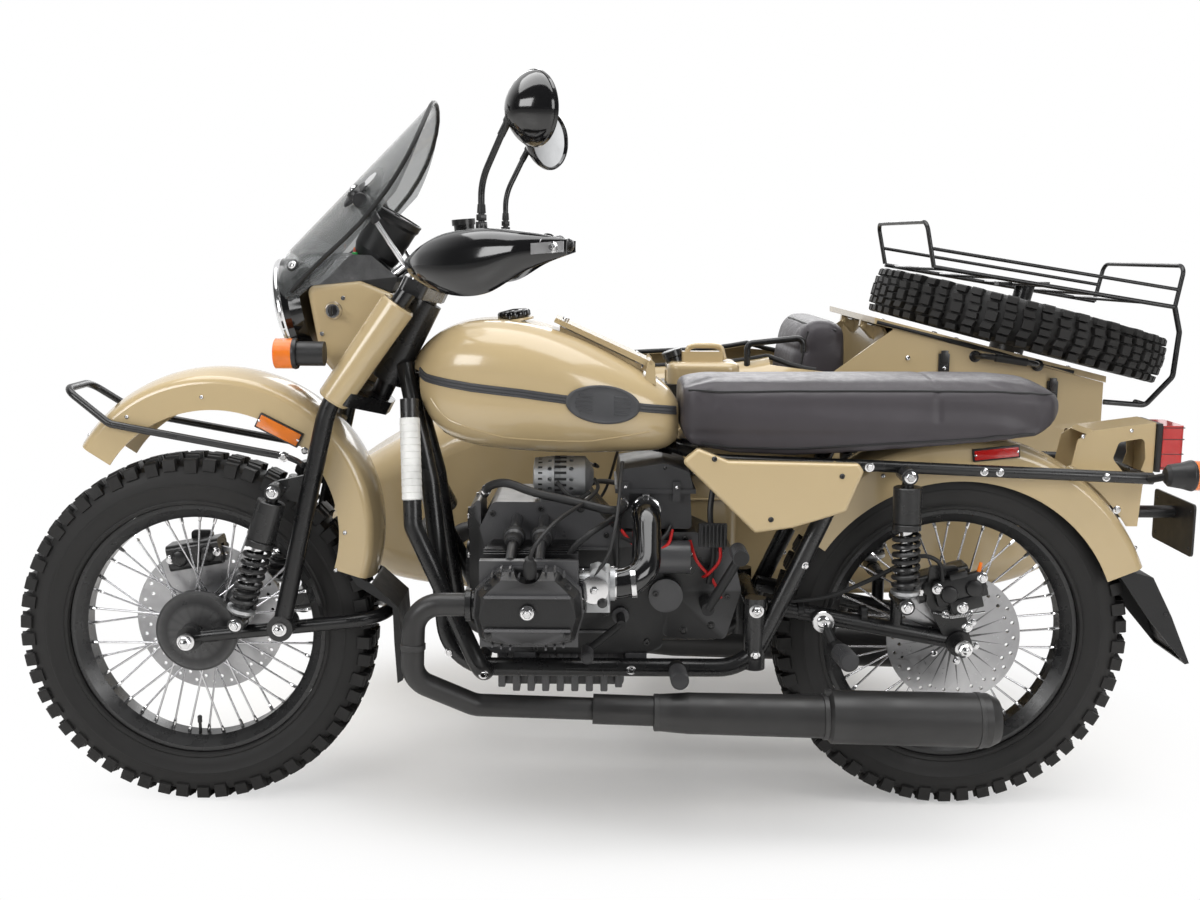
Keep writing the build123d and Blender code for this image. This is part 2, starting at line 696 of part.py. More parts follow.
GAUGE_AT = Vector(*at(1112, 0, 1050))
GAUGE_WAY = Vector(-sin(radians(30)), 0, cos(radians(30)))
STRUT_R = 5.0
with BuildPart() as dash:
    plate(
        [(1214, 1006.5), (1214, 1040), (1236, 1062), (1180, 1066), (1100, 1062), (1052, 1022), (1064, 996), (1120, 1016.5)],
        78,
        156,
        3,
    )
    turned(GAUGE_AT, GAUGE_WAY, [(0, 36), (20, 44), (82, 47), (88, 50), (96, 50), (98, 46)])
    # struts from the handlebar clamps to pads behind the screen
    for sgn in (1, -1):
        pad = SCREEN_FOOT + SCREEN_SLOPE * 168 - SCREEN_FACE * 44 + Vector(0, sgn * 96, 0)
        foot = Vector(*at(1040, sgn * 62, 1042))
        rod(foot, pad, STRUT_R)
        rod(pad, pad + SCREEN_FACE * 24, 13)
        rod(foot, Vector(*at(1064, sgn * 60, 1024)), 8)
    add(windshield.part, mode=Mode.SUBTRACT)
    # clear of the lamp, the housing and the fork
    turned(
        LAMP_AT,
        LAMP_WAY,
        [(-4, 30), (2, 38), (14, LAMP_R - 8), (34, LAMP_R + 3), (90, LAMP_R + 4)],
        Mode.SUBTRACT,
    )
    yoke(HEAD_TOP_Z - YOKE_T / 2, SEAT_GAP, Mode.SUBTRACT)
    add(nacelle.part, mode=Mode.SUBTRACT)
finish("dash", dash.part)

BAR_X = steer_x(HEAD_TOP_Z) + 12
with BuildPart() as handlebar:
    tube(
        [
            at(764, LEFT_REACH - 37, 1083),
            at(915, 270, 1080),
            at(BAR_X, 95, 1048),
            at(BAR_X, -95, 1048),
            at(915, -270, 1080),
            at(764, -(LEFT_REACH - 37), 1083),
        ],
        BAR_R,
        45,
    )
    for y in both_sides(38):
        block(at(BAR_X, y, 1030), (34, 24, 72), 6)
    yoke(HEAD_TOP_Z - YOKE_T / 2, SEAT_GAP, Mode.SUBTRACT)
    rod(at(955, -232, 1070), at(961, -232, 1128), 21)
    rod(at(961, -232, 1122), at(962, -232, 1134), 24)
    block(at(925, -248, 1076), (60, 40, 26), 8, (0, 0, -45))
    block(at(925, 248, 1076), (60, 40, 26), 8, (0, 0, 45))
finish("handlebar", handlebar.part)

with BuildPart() as grips:
    for s in (1, -1):
        a = Vector(*at(764, s * (LEFT_REACH - 37), 1083))
        b = Vector(*at(915, s * 270, 1080))
        run = (b - a).normalized()
        rod(a, a + run * 125, GRIP_R)
        rod(a - run, a + run * 130, BAR_R + SEAT_GAP, mode=Mode.SUBTRACT)
finish("grips", grips.part)

GUARD_BULGE = 42.0
with BuildPart() as hand_guards:
    for s in (1, -1):
        a = Vector(*at(734, s * LEFT_REACH, 0))
        b = Vector(*at(1010, s * (LEFT_REACH - 165), 0))
        along = (b - a).normalized()
        out = Vector(-along.Y, along.X, 0) * s * -1
        if out.X < 0:
            out = out * -1
        chord = (b - a).length
        bow_r = (chord * chord / 4 + GUARD_BULGE * GUARD_BULGE) / (2 * GUARD_BULGE)
        middle = (a + b) * 0.5 - out * (bow_r - GUARD_BULGE)
        with BuildPart(mode=Mode.PRIVATE) as shell:
            with BuildSketch(Plane(origin=(middle.X, middle.Y, 960), x_dir=(1, 0, 0), z_dir=(0, 0, 1))) as ring:
                Circle(bow_r)
                Circle(bow_r - 4, mode=Mode.SUBTRACT)
            extrude(to_extrude=ring.sketch, amount=200)
            face_plane = Plane(origin=a, x_dir=along, z_dir=along.cross(Vector(0, 0, 1)))
            with BuildSketch(face_plane) as face:
                with BuildLine():
                    up = 1 if face_plane.y_dir.Z > 0 else -1
                    Spline(
                        (2, up * 1068), (60, up * 1044), (130, up * 1006), (210, up * 1004),
                        (290, up * 1026), (318, up * 1042),
                    )
                    Line((318, up * 1042), (316, up * 1060))
                    Spline((316, up * 1060), (240, up * 1094), (150, up * 1108), (70, up * 1104), (2, up * 1092))
                    Line((2, up * 1092), (2, up * 1068))
                make_face()
            extrude(to_extrude=face.sketch, amount=150, both=True, mode=Mode.INTERSECT)
        add(shell.part.solids().sort_by(lambda solid: (solid.center() - a).dot(out))[-1])
        tip = Vector(*at(764, s * (LEFT_REACH - 37), 1083))
        end = (tip - Vector(*at(915, s * 270, 1080))).normalized()
        rod(tip + end * SEAT_GAP, tip + end * 16, 13)
        rod(tip + end * 9, tip + end * 9 + out * 27, 8)
        # clamp on the bar behind the inner end
        bar_in = Vector(*at(968, s * 190, 1065))
        rod(bar_in, Vector(b.X, b.Y, 1048) - along * 14 + out * 6, 7)
        block(tuple(bar_in), (34, 34, 34), 5, (0, 0, 60 * s))
    for s in (1, -1):
        tube(
            [
                at(764, s * (LEFT_REACH - 37), 1083),
                at(915, s * 270, 1080),
                at(BAR_X, s * 95, 1048),
                at(BAR_X, s * 40, 1048),
            ],
            BAR_R + SEAT_GAP,
            44,
            Mode.SUBTRACT,
        )
finish("hand_guards", hand_guards.part)

with BuildPart() as mirrors:
    for s in (1, -1):
        tube(
            [at(880, s * 300, 1092), at(880, s * 300, 1190), at(830, s * 330, 1290)],
            5,
            20,
        )
        look = Vector(-cos(radians(18)), s * -sin(radians(18)), 0)
        centre = Vector(*at(800, s * 332, 1300))
        turned(
            centre - look * 34,
            look,
            [(0, 12), (8, 34), (24, MIRROR_R - 6), (40, MIRROR_R), (50, MIRROR_R), (50, MIRROR_R - 4), (47, MIRROR_R - 6)],
        )
        rod(at(830, s * 330, 1290), centre, 6)
        rod(at(880, s * 300, 1094), at(880, s * 300, 1106), 12)
finish("mirrors", mirrors.part)

with BuildPart() as front_indicators:
    for s in (1, -1):
        rod(at(1190, s * (NACELLE_HALF + SEAT_GAP), 888), at(1190, s * 148, 888), 7)
        rod(at(1175, s * 148, 888), at(1225, s * 148, 888), 22)
        rod(at(1225, s * 148, 888), at(1262, s * 148, 888), 27)
finish("front_indicators", front_indicators.part)


def caliper(centre, angle, disc_r, slot_y):
    """Two-part caliper over the disc's rim, its slot clear of the disc on both sides."""
    c = Vector(*centre) + Vector(cos(radians(angle)), 0, sin(radians(angle))) * (disc_r - 14)
    place_at = (c.X, c.Y + slot_y, c.Z)
    block(place_at, (52, 2 * CALIPER_HALF, 104), 10, (0, 180 - angle, 0))
    with BuildSketch(Plane(origin=(centre[0], centre[1] + slot_y, centre[2]), x_dir=(1, 0, 0), z_dir=(0, 1, 0))) as gap:
        Circle(disc_r + MOVE_GAP)
    extrude(to_extrude=gap.sketch, amount=DISC_T / 2 + MOVE_GAP, both=True, mode=Mode.SUBTRACT)


with BuildPart() as front_caliper:
    caliper(FRONT_AXLE, 80, FRONT_DISC_R, -DISC_Y)
finish("front_caliper", front_caliper.part)

# ---------------------------------------------------------------- frame
FRAME_R = 17.0
BACKBONE_R = 19.0
FRAME_Y = 120.0
FRAME_LOW_Z = 300.0
RAIL_Y = 112.0
RAIL_R = 11.0
PIVOT_X = 389.0
PIVOT_Z = 416.0
REAR_SHOCK_Y = 150.0
REAR_SHOCK_TOP = (121.0, 673.0)
REAR_SHOCK_LOW = (117.0, 431.0)
SWING_R = 16.0
SWING_Y = 84.0

with BuildPart() as main_frame:
    head_low = Vector(*at(steer_x(HEAD_LOW_Z + YOKE_T), 0, HEAD_LOW_Z + YOKE_T))
    head_high = Vector(*at(steer_x(HEAD_TOP_Z - YOKE_T - 8), 0, HEAD_TOP_Z - YOKE_T - 8))
    rod(head_low, head_high, HEAD_TUBE_R)
    tube([at(1074, 0, 838), at(900, 0, 775), at(540, 0, 705)], BACKBONE_R, 80)
    for s in (1, -1):
        y = s * FRAME_Y
        tube(
            [
                at(1050, s * 20, 860),
                at(1000, s * 60, 640),
                at(960, y, FRAME_LOW_Z),
                at(400, y, FRAME_LOW_Z),
                at(220, s * RAIL_Y, 690),
            ],
            FRAME_R,
            90,
        )
        tube([at(545, s * 10, 704), at(470, s * RAIL_Y, 694), at(210, s * RAIL_Y, 686), at(-340, s * RAIL_Y, 664)], RAIL_R, 40)
        rod(at(PIVOT_X, y, FRAME_LOW_Z), at(PIVOT_X, y, PIVOT_Z + 20), 20)
        top_x, top_z = REAR_SHOCK_TOP
        rod(at(top_x, s * (RAIL_Y - 6), top_z), at(top_x, s * (REAR_SHOCK_Y - EYE_HALF - SEAT_GAP), top_z), 14)
    rod(at(-330, RAIL_Y, 664.5), at(-330, -RAIL_Y, 664.5), RAIL_R - 2)
    rod(at(PIVOT_X, FRAME_Y, PIVOT_Z), at(PIVOT_X, -FRAME_Y, PIVOT_Z), 16)
    rod(at(900, FRAME_Y, FRAME_LOW_Z), at(900, -FRAME_Y, FRAME_LOW_Z), 13)
    rod(
        head_low - (head_high - head_low).normalized() * 9,
        head_high + (head_high - head_low).normalized() * 9,
        STEER_TUBE_R + RUN_GAP,
        mode=Mode.SUBTRACT,
    )
finish("main_frame", main_frame.part)

with BuildPart() as swingarm:
    for s in (1, -1):
        rod(at(PIVOT_X - 25, s * SWING_Y, PIVOT_Z - 4), at(0, s * SWING_Y, TYRE_R), SWING_R)
        shock_face = s * (REAR_SHOCK_Y - EYE_HALF - SEAT_GAP)
        arm_z = TYRE_R + (PIVOT_Z - TYRE_R) * REAR_SHOCK_LOW[0] / PIVOT_X
        rod(at(REAR_SHOCK_LOW[0], s * SWING_Y, arm_z), at(REAR_SHOCK_LOW[0], s * SWING_Y, REAR_SHOCK_LOW[1]), 12)
        rod(
            at(REAR_SHOCK_LOW[0], s * (SWING_Y - 12), REAR_SHOCK_LOW[1]),
            at(REAR_SHOCK_LOW[0], shock_face, REAR_SHOCK_LOW[1]),
            13,
        )
        rod(at(0, s * (SWING_Y - 16), TYRE_R), at(0, s * (SWING_Y + 20), TYRE_R), LUG_R)
    rod(at(0, -SWING_Y, TYRE_R), at(0, SWING_Y + 50, TYRE_R), AXLE_R)
    rod(at(0, -SWING_Y + 2, TYRE_R), at(0, -HUB_HALF - MOVE_GAP, TYRE_R), 82)
    # brake bracket up to the caliper
    plate(
        [(-24, TYRE_R), (24, TYRE_R + 4), (64, TYRE_R + 80), (60, TYRE_R + 150), (8, TYRE_R + 150)],
        DISC_Y + CALIPER_HALF + SEAT_GAP + BRACKET_T,
        BRACKET_T,
        8,
    )
finish("swingarm", swingarm.part)

with BuildPart() as rear_shocks:
    for y in both_sides(REAR_SHOCK_Y):
        shock(REAR_SHOCK_TOP, REAR_SHOCK_LOW, y)
finish("rear_shocks", rear_shocks.part)

with BuildPart() as rear_calipers:
    caliper(REAR_AXLE, 75, REAR_DISC_R, DISC_Y)
    caliper(SIDE_AXLE, 100, SIDE_DISC_R, DISC_Y)
finish("rear_calipers", rear_calipers.part)


BRACKET_HALF = 46.0
with BuildPart() as lamp_bracket:
    plate(
        [(-205, 640), (-222, 726), (-250, 744), (-368, 760), (-368, 664), (-350, 640), (-345, 560), (-300, 560)],
        BRACKET_HALF,
        2 * BRACKET_HALF,
    )
    plate(
        [(-200, 500), (-200, 724), (-252, 741), (-365, 757), (-365, 500)],
        BRACKET_HALF - FENDER_T,
        2 * (BRACKET_HALF - FENDER_T),
        mode=Mode.SUBTRACT,
    )
    plate(
        [(-290, 690), (-300, 722), (-348, 730), (-352, 690), (-344, 664), (-312, 664)],
        BRACKET_HALF + 10,
        2 * BRACKET_HALF + 20,
        9,
        Mode.SUBTRACT,
    )
    rod(at(0, 200, TYRE_R), at(0, -200, TYRE_R), REAR_FENDER_R - 2, mode=Mode.SUBTRACT)
    # hole for the frame's rear cross tube
    rod(at(-330, RAIL_Y, 664.5), at(-330, -RAIL_Y, 664.5), RAIL_R - 2 + SEAT_GAP, mode=Mode.SUBTRACT)
with BuildPart() as rear_fender:
    guard(at(0, 0, TYRE_R), REAR_FENDER_R, REAR_FENDER_WIDTH, 85, 34, 124)
    add(lamp_bracket.part)
    # ties to the rails
    for x in (60, -200):
        for sgn in (1, -1):
            rod(at(x, sgn * (REAR_FENDER_WIDTH / 2 - 1), 674), at(x, sgn * (RAIL_Y - RAIL_R - SEAT_GAP), 674), 8)
finish("rear_fender", rear_fender.part)

REAR_FLAP_HALF = REAR_FENDER_WIDTH / 2 - FENDER_T - SEAT_GAP
with BuildPart() as rear_flap:
    plate(
        [(-306, 520), (-318, 508), (-333, 476), (-372, 466), (-412, 390), (-452, 298), (-444, 296), (-372, 380), (-308, 468)],
        REAR_FLAP_HALF,
        2 * REAR_FLAP_HALF,
    )
    plate(
        [(-280, 530), (-302, 530), (-313, 507), (-328, 474), (-365, 461), (-407, 388), (-444, 304), (-436, 300), (-366, 376), (-296, 460)],
        REAR_FLAP_HALF - FLAP_T,
        2 * (REAR_FLAP_HALF - FLAP_T),
        mode=Mode.SUBTRACT,
    )
finish("rear_flap", rear_flap.part)

with BuildPart() as tail_lamp:
    block(at(-374 - SEAT_GAP, 0, 712), (11, 2 * BRACKET_HALF + 12, 92), 3)
    block(at(-398 - SEAT_GAP, 0, 712), (48, 2 * BRACKET_HALF + 4, 84), 8)
finish("tail_lamp", tail_lamp.part)

with BuildPart() as sidecar_lamps:
    block(at(SIDECAR_LEAD - 330, -TRACK, 596), (40, 80, 60), 6)
    rod(at(SIDECAR_LEAD - 320, -TRACK, 596), at(SIDECAR_LEAD - 270, -TRACK, 580), 16)
    block(at(SIDECAR_LEAD + 282, -TRACK, 668), (50, 60, 50), 6)
    rod(at(SIDECAR_LEAD + 270, -TRACK, 662), at(SIDECAR_LEAD + 220, -TRACK, 640), 16)
    rod(at(SIDECAR_LEAD, -TRACK - 200, TYRE_R), at(SIDECAR_LEAD, 200 - TRACK, TYRE_R), SIDECAR_FENDER_R + SEAT_GAP, mode=Mode.SUBTRACT)
with BuildPart() as rear_indicators:
    for s in (1, -1):
        rod(at(-330, s * (RAIL_Y + RAIL_R + SEAT_GAP), 664), at(-350, s * 158, 677), 7)
        turned(
            at(-342, s * 160, 678),
            (-1, 0, 0),
            [(0, 14), (6, 20), (30, 24), (44, 28), (47, 28), (47, 27), (76, 27), (84, 22)],
        )
        rod(at(-300, s * RAIL_Y, 665.6), at(-360, s * RAIL_Y, 663.2), RAIL_R + SEAT_GAP, mode=Mode.SUBTRACT)
    add(sidecar_lamps.part)
finish("rear_indicators", rear_indicators.part)

# ---------------------------------------------------------------- engine
CYL_X = 801.0
CYL_Z = 479.0
CASE_HALF = 118.0
THROTTLE_Y = 275.0
THROTTLE_Z = 500.0
FIN_T = 4.0
FIN_PITCH = 14.0
FINS = 11
FIN_LENGTH = 168.0
FIN_HEIGHT = 150.0
BARREL_R = 54.0
COVER_FACE = 335.0
COVER_OUT = 392.0

with BuildPart() as engine_case:
    plate(
        [(905, 340), (905, 560), (880, 610), (700, 610), (650, 555), (560, 552), (560, 330), (600, 318), (880, 318)],
        CASE_HALF - 22,
        2 * (CASE_HALF - 22),
        14,
    )
    plate([(561, 350), (561, 552), (500, 552), (430, 520), (412, 440), (440, 345)], 85, 170, 12)
    # feet between the lower frame tubes
    for x in (820, 610):
        foot_half = FRAME_Y - FRAME_R - SEAT_GAP
        plate([(x - 20, 322), (x - 20, 295), (x + 20, 295), (x + 20, 322)], foot_half, 2 * foot_half)
    # timing cover, starter, clutch arm boss and finned sump
    plate([(904, 400), (926, 414), (926, 592), (904, 616)], 74, 148, 5)
    rod(at(925, 0, 470), at(936, 0, 470), 44)
    rod(at(925, 0, 560), at(934, 0, 560), 22)
    rod(at(590, 100, 508), at(512, 100, 508), 31)
    rod(at(600, 100, 508), at(590, 100, 508), 20)
    rod(at(556, 84, 436), at(556, 112, 436), 32)
    rod(at(640, -106, 395), at(640, 106, 395), 16)
    for i in range(9):
        plate([(860 - i * 30, 322), (854 - i * 30, 322), (854 - i * 30, 304), (860 - i * 30, 304)], 84, 168)
    for z in (360, 400, 440, 480, 520):
        plate([(895, z), (895, z + 5), (660, z + 5), (660, z)], 101, 202)
    # the ribs stop round each barrel
    for s in (1, -1):
        rod(at(CYL_X, s * (CASE_HALF - 22), CYL_Z), at(CYL_X, s * CASE_HALF, CYL_Z), BARREL_R + MOVE_GAP, mode=Mode.SUBTRACT)
finish("engine_case", engine_case.part)

with BuildPart() as cylinders:
    for s in (1, -1):
        start = s * (CASE_HALF - 22 + SEAT_GAP)
        rod(at(CYL_X, start, CYL_Z), at(CYL_X, s * (COVER_FACE - SEAT_GAP), CYL_Z), BARREL_R)
        for i in range(FINS):
            y = CASE_HALF + 12 + i * FIN_PITCH
            block(
                at(CYL_X, s * y, CYL_Z), (FIN_LENGTH - abs(i - 8) * 2, FIN_T, FIN_HEIGHT - abs(i - 8) * 2), 0
            )
        block(at(CYL_X, s * (COVER_FACE - SEAT_GAP - 10), CYL_Z), (FIN_LENGTH, 20, FIN_HEIGHT), 0)
        block(at(CYL_X - FIN_LENGTH / 2 + 10, s * THROTTLE_Y, THROTTLE_Z), (20, 60, 60), 8)
        # pushrod tubes with their rubber caps
        for x in (CYL_X + 33, CYL_X - 17):
            foot = Vector(*at(x, s * (CASE_HALF - 20 + SEAT_GAP), 580))
            head = Vector(*at(x, s * 320, 548))
            rod(foot, head, 9)
            run = (head - foot).normalized()
            turned(foot + run * 96, run, [(0, 12), (4, 18), (12, 18), (18, 14), (40, 13)])
finish("cylinders", cylinders.part)

COVER_EDGE = ((93, -12), (89, 30), (50, 66), (-50, 66), (-89, 30), (-93, -12), (-80, -58), (-34, -66), (34, -66), (80, -58))
with BuildPart() as valve_covers:
    for s in (1, -1):
        face_at = Plane(origin=at(CYL_X, s * COVER_FACE, CYL_Z), x_dir=(1, 0, 0), z_dir=(0, s, 0))
        up = 1 if face_at.y_dir.Z > 0 else -1
        with BuildSketch(face_at) as cover:
            with BuildLine():
                Polyline(*[(x, up * z) for x, z in COVER_EDGE], close=True)
            make_face()
            fillet(cover.vertices(), 10)
        extrude(to_extrude=cover.sketch, amount=26)
        # cooling grooves round the rim
        for depth in (5, 12, 19):
            groove = Plane(origin=at(CYL_X, s * (COVER_FACE + depth), CYL_Z), x_dir=(1, 0, 0), z_dir=(0, s, 0))
            with BuildSketch(groove) as ring:
                with BuildLine():
                    Polyline(*[(1.1 * x, up * 1.1 * z) for x, z in COVER_EDGE], close=True)
                make_face()
                with BuildLine():
                    Polyline(*[(0.95 * x, up * 0.95 * z) for x, z in COVER_EDGE], close=True)
                make_face(mode=Mode.SUBTRACT)
            extrude(to_extrude=ring.sketch, amount=3, mode=Mode.SUBTRACT)
        front = Plane(origin=at(CYL_X, s * (COVER_FACE + 26), CYL_Z), x_dir=(1, 0, 0), z_dir=(0, s, 0))
        with BuildSketch(front) as cap:
            with BuildLine():
                Polyline(*[(0.97 * x, up * 0.97 * z) for x, z in COVER_EDGE], close=True)
            make_face()
            fillet(cap.vertices(), 12)
        extrude(to_extrude=cap.sketch, amount=24, taper=22)
        # raised band with its centre boss
        band = Plane(origin=at(CYL_X, s * (COVER_FACE + 40), CYL_Z), x_dir=(1, 0, 0), z_dir=(0, s, 0))
        with BuildSketch(band) as ridge:
            for z in (27, -30):
                with Locations((0, up * z)):
                    SlotOverall(144, 5)
            Circle(13)
        extrude(to_extrude=ridge.sketch, amount=COVER_OUT - COVER_FACE - 40)
        # scallops for the plug and the lower stud
        for z, radius in ((74, 26), (-74, 22)):
            rod(
                at(CYL_X, s * (COVER_FACE + 8), CYL_Z + z),
                at(CYL_X, s * (COVER_OUT + 5), CYL_Z + z),
                radius,
                mode=Mode.SUBTRACT,
            )
finish("valve_covers", valve_covers.part)

PIPE_R = 20.0
with BuildPart() as exhausts:
    for s in (1, -1):
        tube(
            [
                at(CYL_X + FIN_LENGTH / 2 + SEAT_GAP, s * 305, 470),
                at(1000, s * 305, 470),
                at(1006, s * 300, 335),
                at(900, s * 262, 275),
                at(690, s * 232, 258),
            ],
            PIPE_R,
            48,
        )
        rod(at(691, s * 232, 258), at(560, s * 232, 254), 27)
        turned(
            at(580, s * 232, 252),
            (-1, 0, -0.02),
            [(0, 27), (6, 33), (60, 37), (310, 39), (318, 48), (600, 49), (618, 40), (618, 27), (560, 25)],
        )
finish("exhausts", exhausts.part)

with BuildPart() as air_box:
    plate([(644, 560), (640, 634), (512, 634), (508, 560)], 92, 184, 8)
    plate([(648, 634), (644, 672), (560, 684), (514, 668), (506, 634)], 97, 194, 5)
    plate([(652, 628), (652, 636), (502, 636), (502, 628)], 100, 200)
    for x in (640, 545):
        plate([(x, 614), (x, 650), (x - 14, 650), (x - 14, 614)], 104, 208)
finish("air_box", air_box.part)

CRASH_R = 17.0
with BuildPart() as crash_bars:
    for s in (1, -1):
        tube(
            [
                at(1034, s * 84, 800),
                at(1024, s * 130, 570),
                at(892, s * 178, FRAME_LOW_Z),
                at(892, s * (FRAME_Y + FRAME_R + SEAT_GAP), FRAME_LOW_Z),
            ],
            CRASH_R,
            30,
        )
        # clip to the front down tube
        rod(at(1031, s * 84, 775), at(1031, s * 53.5, 775), 9)
finish("crash_bars", crash_bars.part)

# ---------------------------------------------------------------- tank, seat and covers
TANK = (
    # x, width, bottom, top, corner
    (534, 110, 722, 792, 30),
    (575, 176, 700, 836, 60),
    (660, 232, 697, 884, 80),
    (760, 276, 698, 926, 90),
    (860, 276, 704, 945, 90),
    (955, 232, 722, 934, 80),
    (1008, 150, 764, 900, 55),
    (1030, 70, 806, 872, 30),
)
with BuildPart() as fuel_tank:
    for x, width, low, top, corner in TANK:
        with BuildSketch(across(x, 0, (low + top) / 2)):
            RectangleRounded(width, top - low, corner)
    loft()
    # tunnel over the backbone
    tunnel = BACKBONE_R + 5
    plate([(1120, 600), (1120, 855 + tunnel), (1074, 838 + tunnel), (900, 775 + tunnel), (500, 697 + tunnel), (500, 600)], tunnel, 2 * tunnel, mode=Mode.SUBTRACT)
    plate([(975, 600), (975, 800), (1010, 850), (1120, 860), (1120, 600)], 62, 124, mode=Mode.SUBTRACT)
    rod(at(steer_x(700), 0, 700), at(steer_x(1000), 0, 1000), HEAD_TUBE_R + 8, mode=Mode.SUBTRACT)
    # raised rim and hinge lugs of the tool compartment
    plate([(757, 860), (757, 934), (604, 862), (604, 830)], 46, 92)
    plate([(745, 900), (745, 940), (616, 880), (616, 850)], 38, 76, mode=Mode.SUBTRACT)
    for left in (68, -62):
        plate([(598, 836), (594, 868), (587, 875), (580, 868), (577, 826)], left, 6)
        rod(at(587, left + 1, 868), at(587, left - 7, 868), 3 + RUN_GAP, mode=Mode.SUBTRACT)
finish("fuel_tank", fuel_tank.part)

SEAT_HALF = 135.0
with BuildPart() as seat:
    plate(
        [(530, 800), (520, 735), (320, 706), (-120, 740), (-176, 790), (-165, 822), (-120, 838), (500, 828)],
        SEAT_HALF,
        2 * SEAT_HALF,
        12,
    )
    half = REAR_FENDER_WIDTH / 2 + 2
    rod(at(0, half, TYRE_R), at(0, -half, TYRE_R), REAR_FENDER_R + 1, mode=Mode.SUBTRACT)
finish("seat", seat.part)

COVER_FACE_Y = 178.0
COVER_T = 20.0
with BuildPart() as side_covers:
    for s in (1, -1):
        left = COVER_FACE_Y if s > 0 else COVER_T - COVER_FACE_Y
        outline = [(534, 700), (505, 724), (450, 702), (215, 698), (206, 684), (236, 610), (330, 580), (400, 570)]
        with BuildPart(mode=Mode.PRIVATE) as cover:
            plate(outline, left, COVER_T, 8)
            face = cover.faces().sort_by(Axis.Y)[-1 if s > 0 else 0]
            fillet(face.edges(), 7)
            plate(
                [(520, 700), (503, 714), (452, 694), (222, 690), (216, 682), (242, 616), (332, 587), (396, 578)],
                left - 3 if s > 0 else left,
                COVER_T - 3,
                mode=Mode.SUBTRACT,
            )
        add(cover.part)
        for x in (430, 250):
            rod(
                at(x, s * (RAIL_Y + RAIL_R + SEAT_GAP), 688),
                at(x, s * (COVER_FACE_Y - 2), 688),
                7,
            )
finish("side_covers", side_covers.part)

# ---------------------------------------------------------------- sidecar
TUB_NEAR = -410.0
TUB_FAR = -965.0
TUB_Y = (TUB_NEAR + TUB_FAR) / 2
TUB_WALL = 6.0
TUB_FLOOR = 290.0
RAIL_Z = 252.0
SIDE_RAIL_R = 22.0
SIDE_ARM_Y = -TRACK + 82.0
TUB = (
    # x, width, bottom, top, corner
    (1330, 170, 400, 500, 40),
    (1270, 330, 345, 560, 70),
    (1120, 460, 302, 650, 85),
    (900, 540, 290, 750, 90),
    (600, 555, 290, 812, 80),
    (300, 555, 290, 838, 70),
    (60, 555, 290, 900, 70),
    (-150, 545, 300, 880, 70),
    (-350, 510, 350, 830, 70),
    (-440, 450, 430, 765, 60),
)
TRUNK = (
    # x, width, corner
    (164, 555, 30),
    (-120, 555, 40),
    (-452, 480, 60),
)
TRUNK_LOW = 640.0
TRUNK_TOP = 1000.0
LID_FRONT_X = 77.0
LID_TOP_Z = 931.0
LID_SLOPE = 0.245
LID_T = 14.0
LID_LIP = 4.0
LID_REAR_X = -456.0
HINGE_X = 70.0
HINGE_Z = 903.0
HINGE_PIN_R = 4.0
BULKHEAD_X = 40.0


def lid_z(x, depth=0):
    """Height of the lid's upper face at x, less a depth."""
    return LID_TOP_Z + (x - LID_FRONT_X) * LID_SLOPE - depth


def hull(shrink):
    """Tub shape, taken in by a wall all round."""
    with BuildPart() as body:
        for x, width, low, top, corner in TUB:
            shift = shrink if x > 900 else -shrink
            if abs(x - 600) < 320:
                shift = 0
            with BuildSketch(across(x - shift, TUB_Y, (low + top) / 2)):
                RectangleRounded(width - 2 * shrink, top - low - 2 * shrink, corner - shrink)
        loft()
    return body.part


def trunk_box(shrink):
    """Flat-sided trunk behind the cockpit, open to the lid."""
    with BuildPart() as box:
        for x, width, corner in TRUNK:
            shift = shrink if x < -400 else 0
            low = TRUNK_LOW + shrink
            top = TRUNK_TOP - shrink
            with BuildSketch(across(x + shift, TUB_Y, (low + top) / 2)):
                RectangleRounded(width - 2 * shrink, top - low, corner - shrink)
        loft()
    return box.part


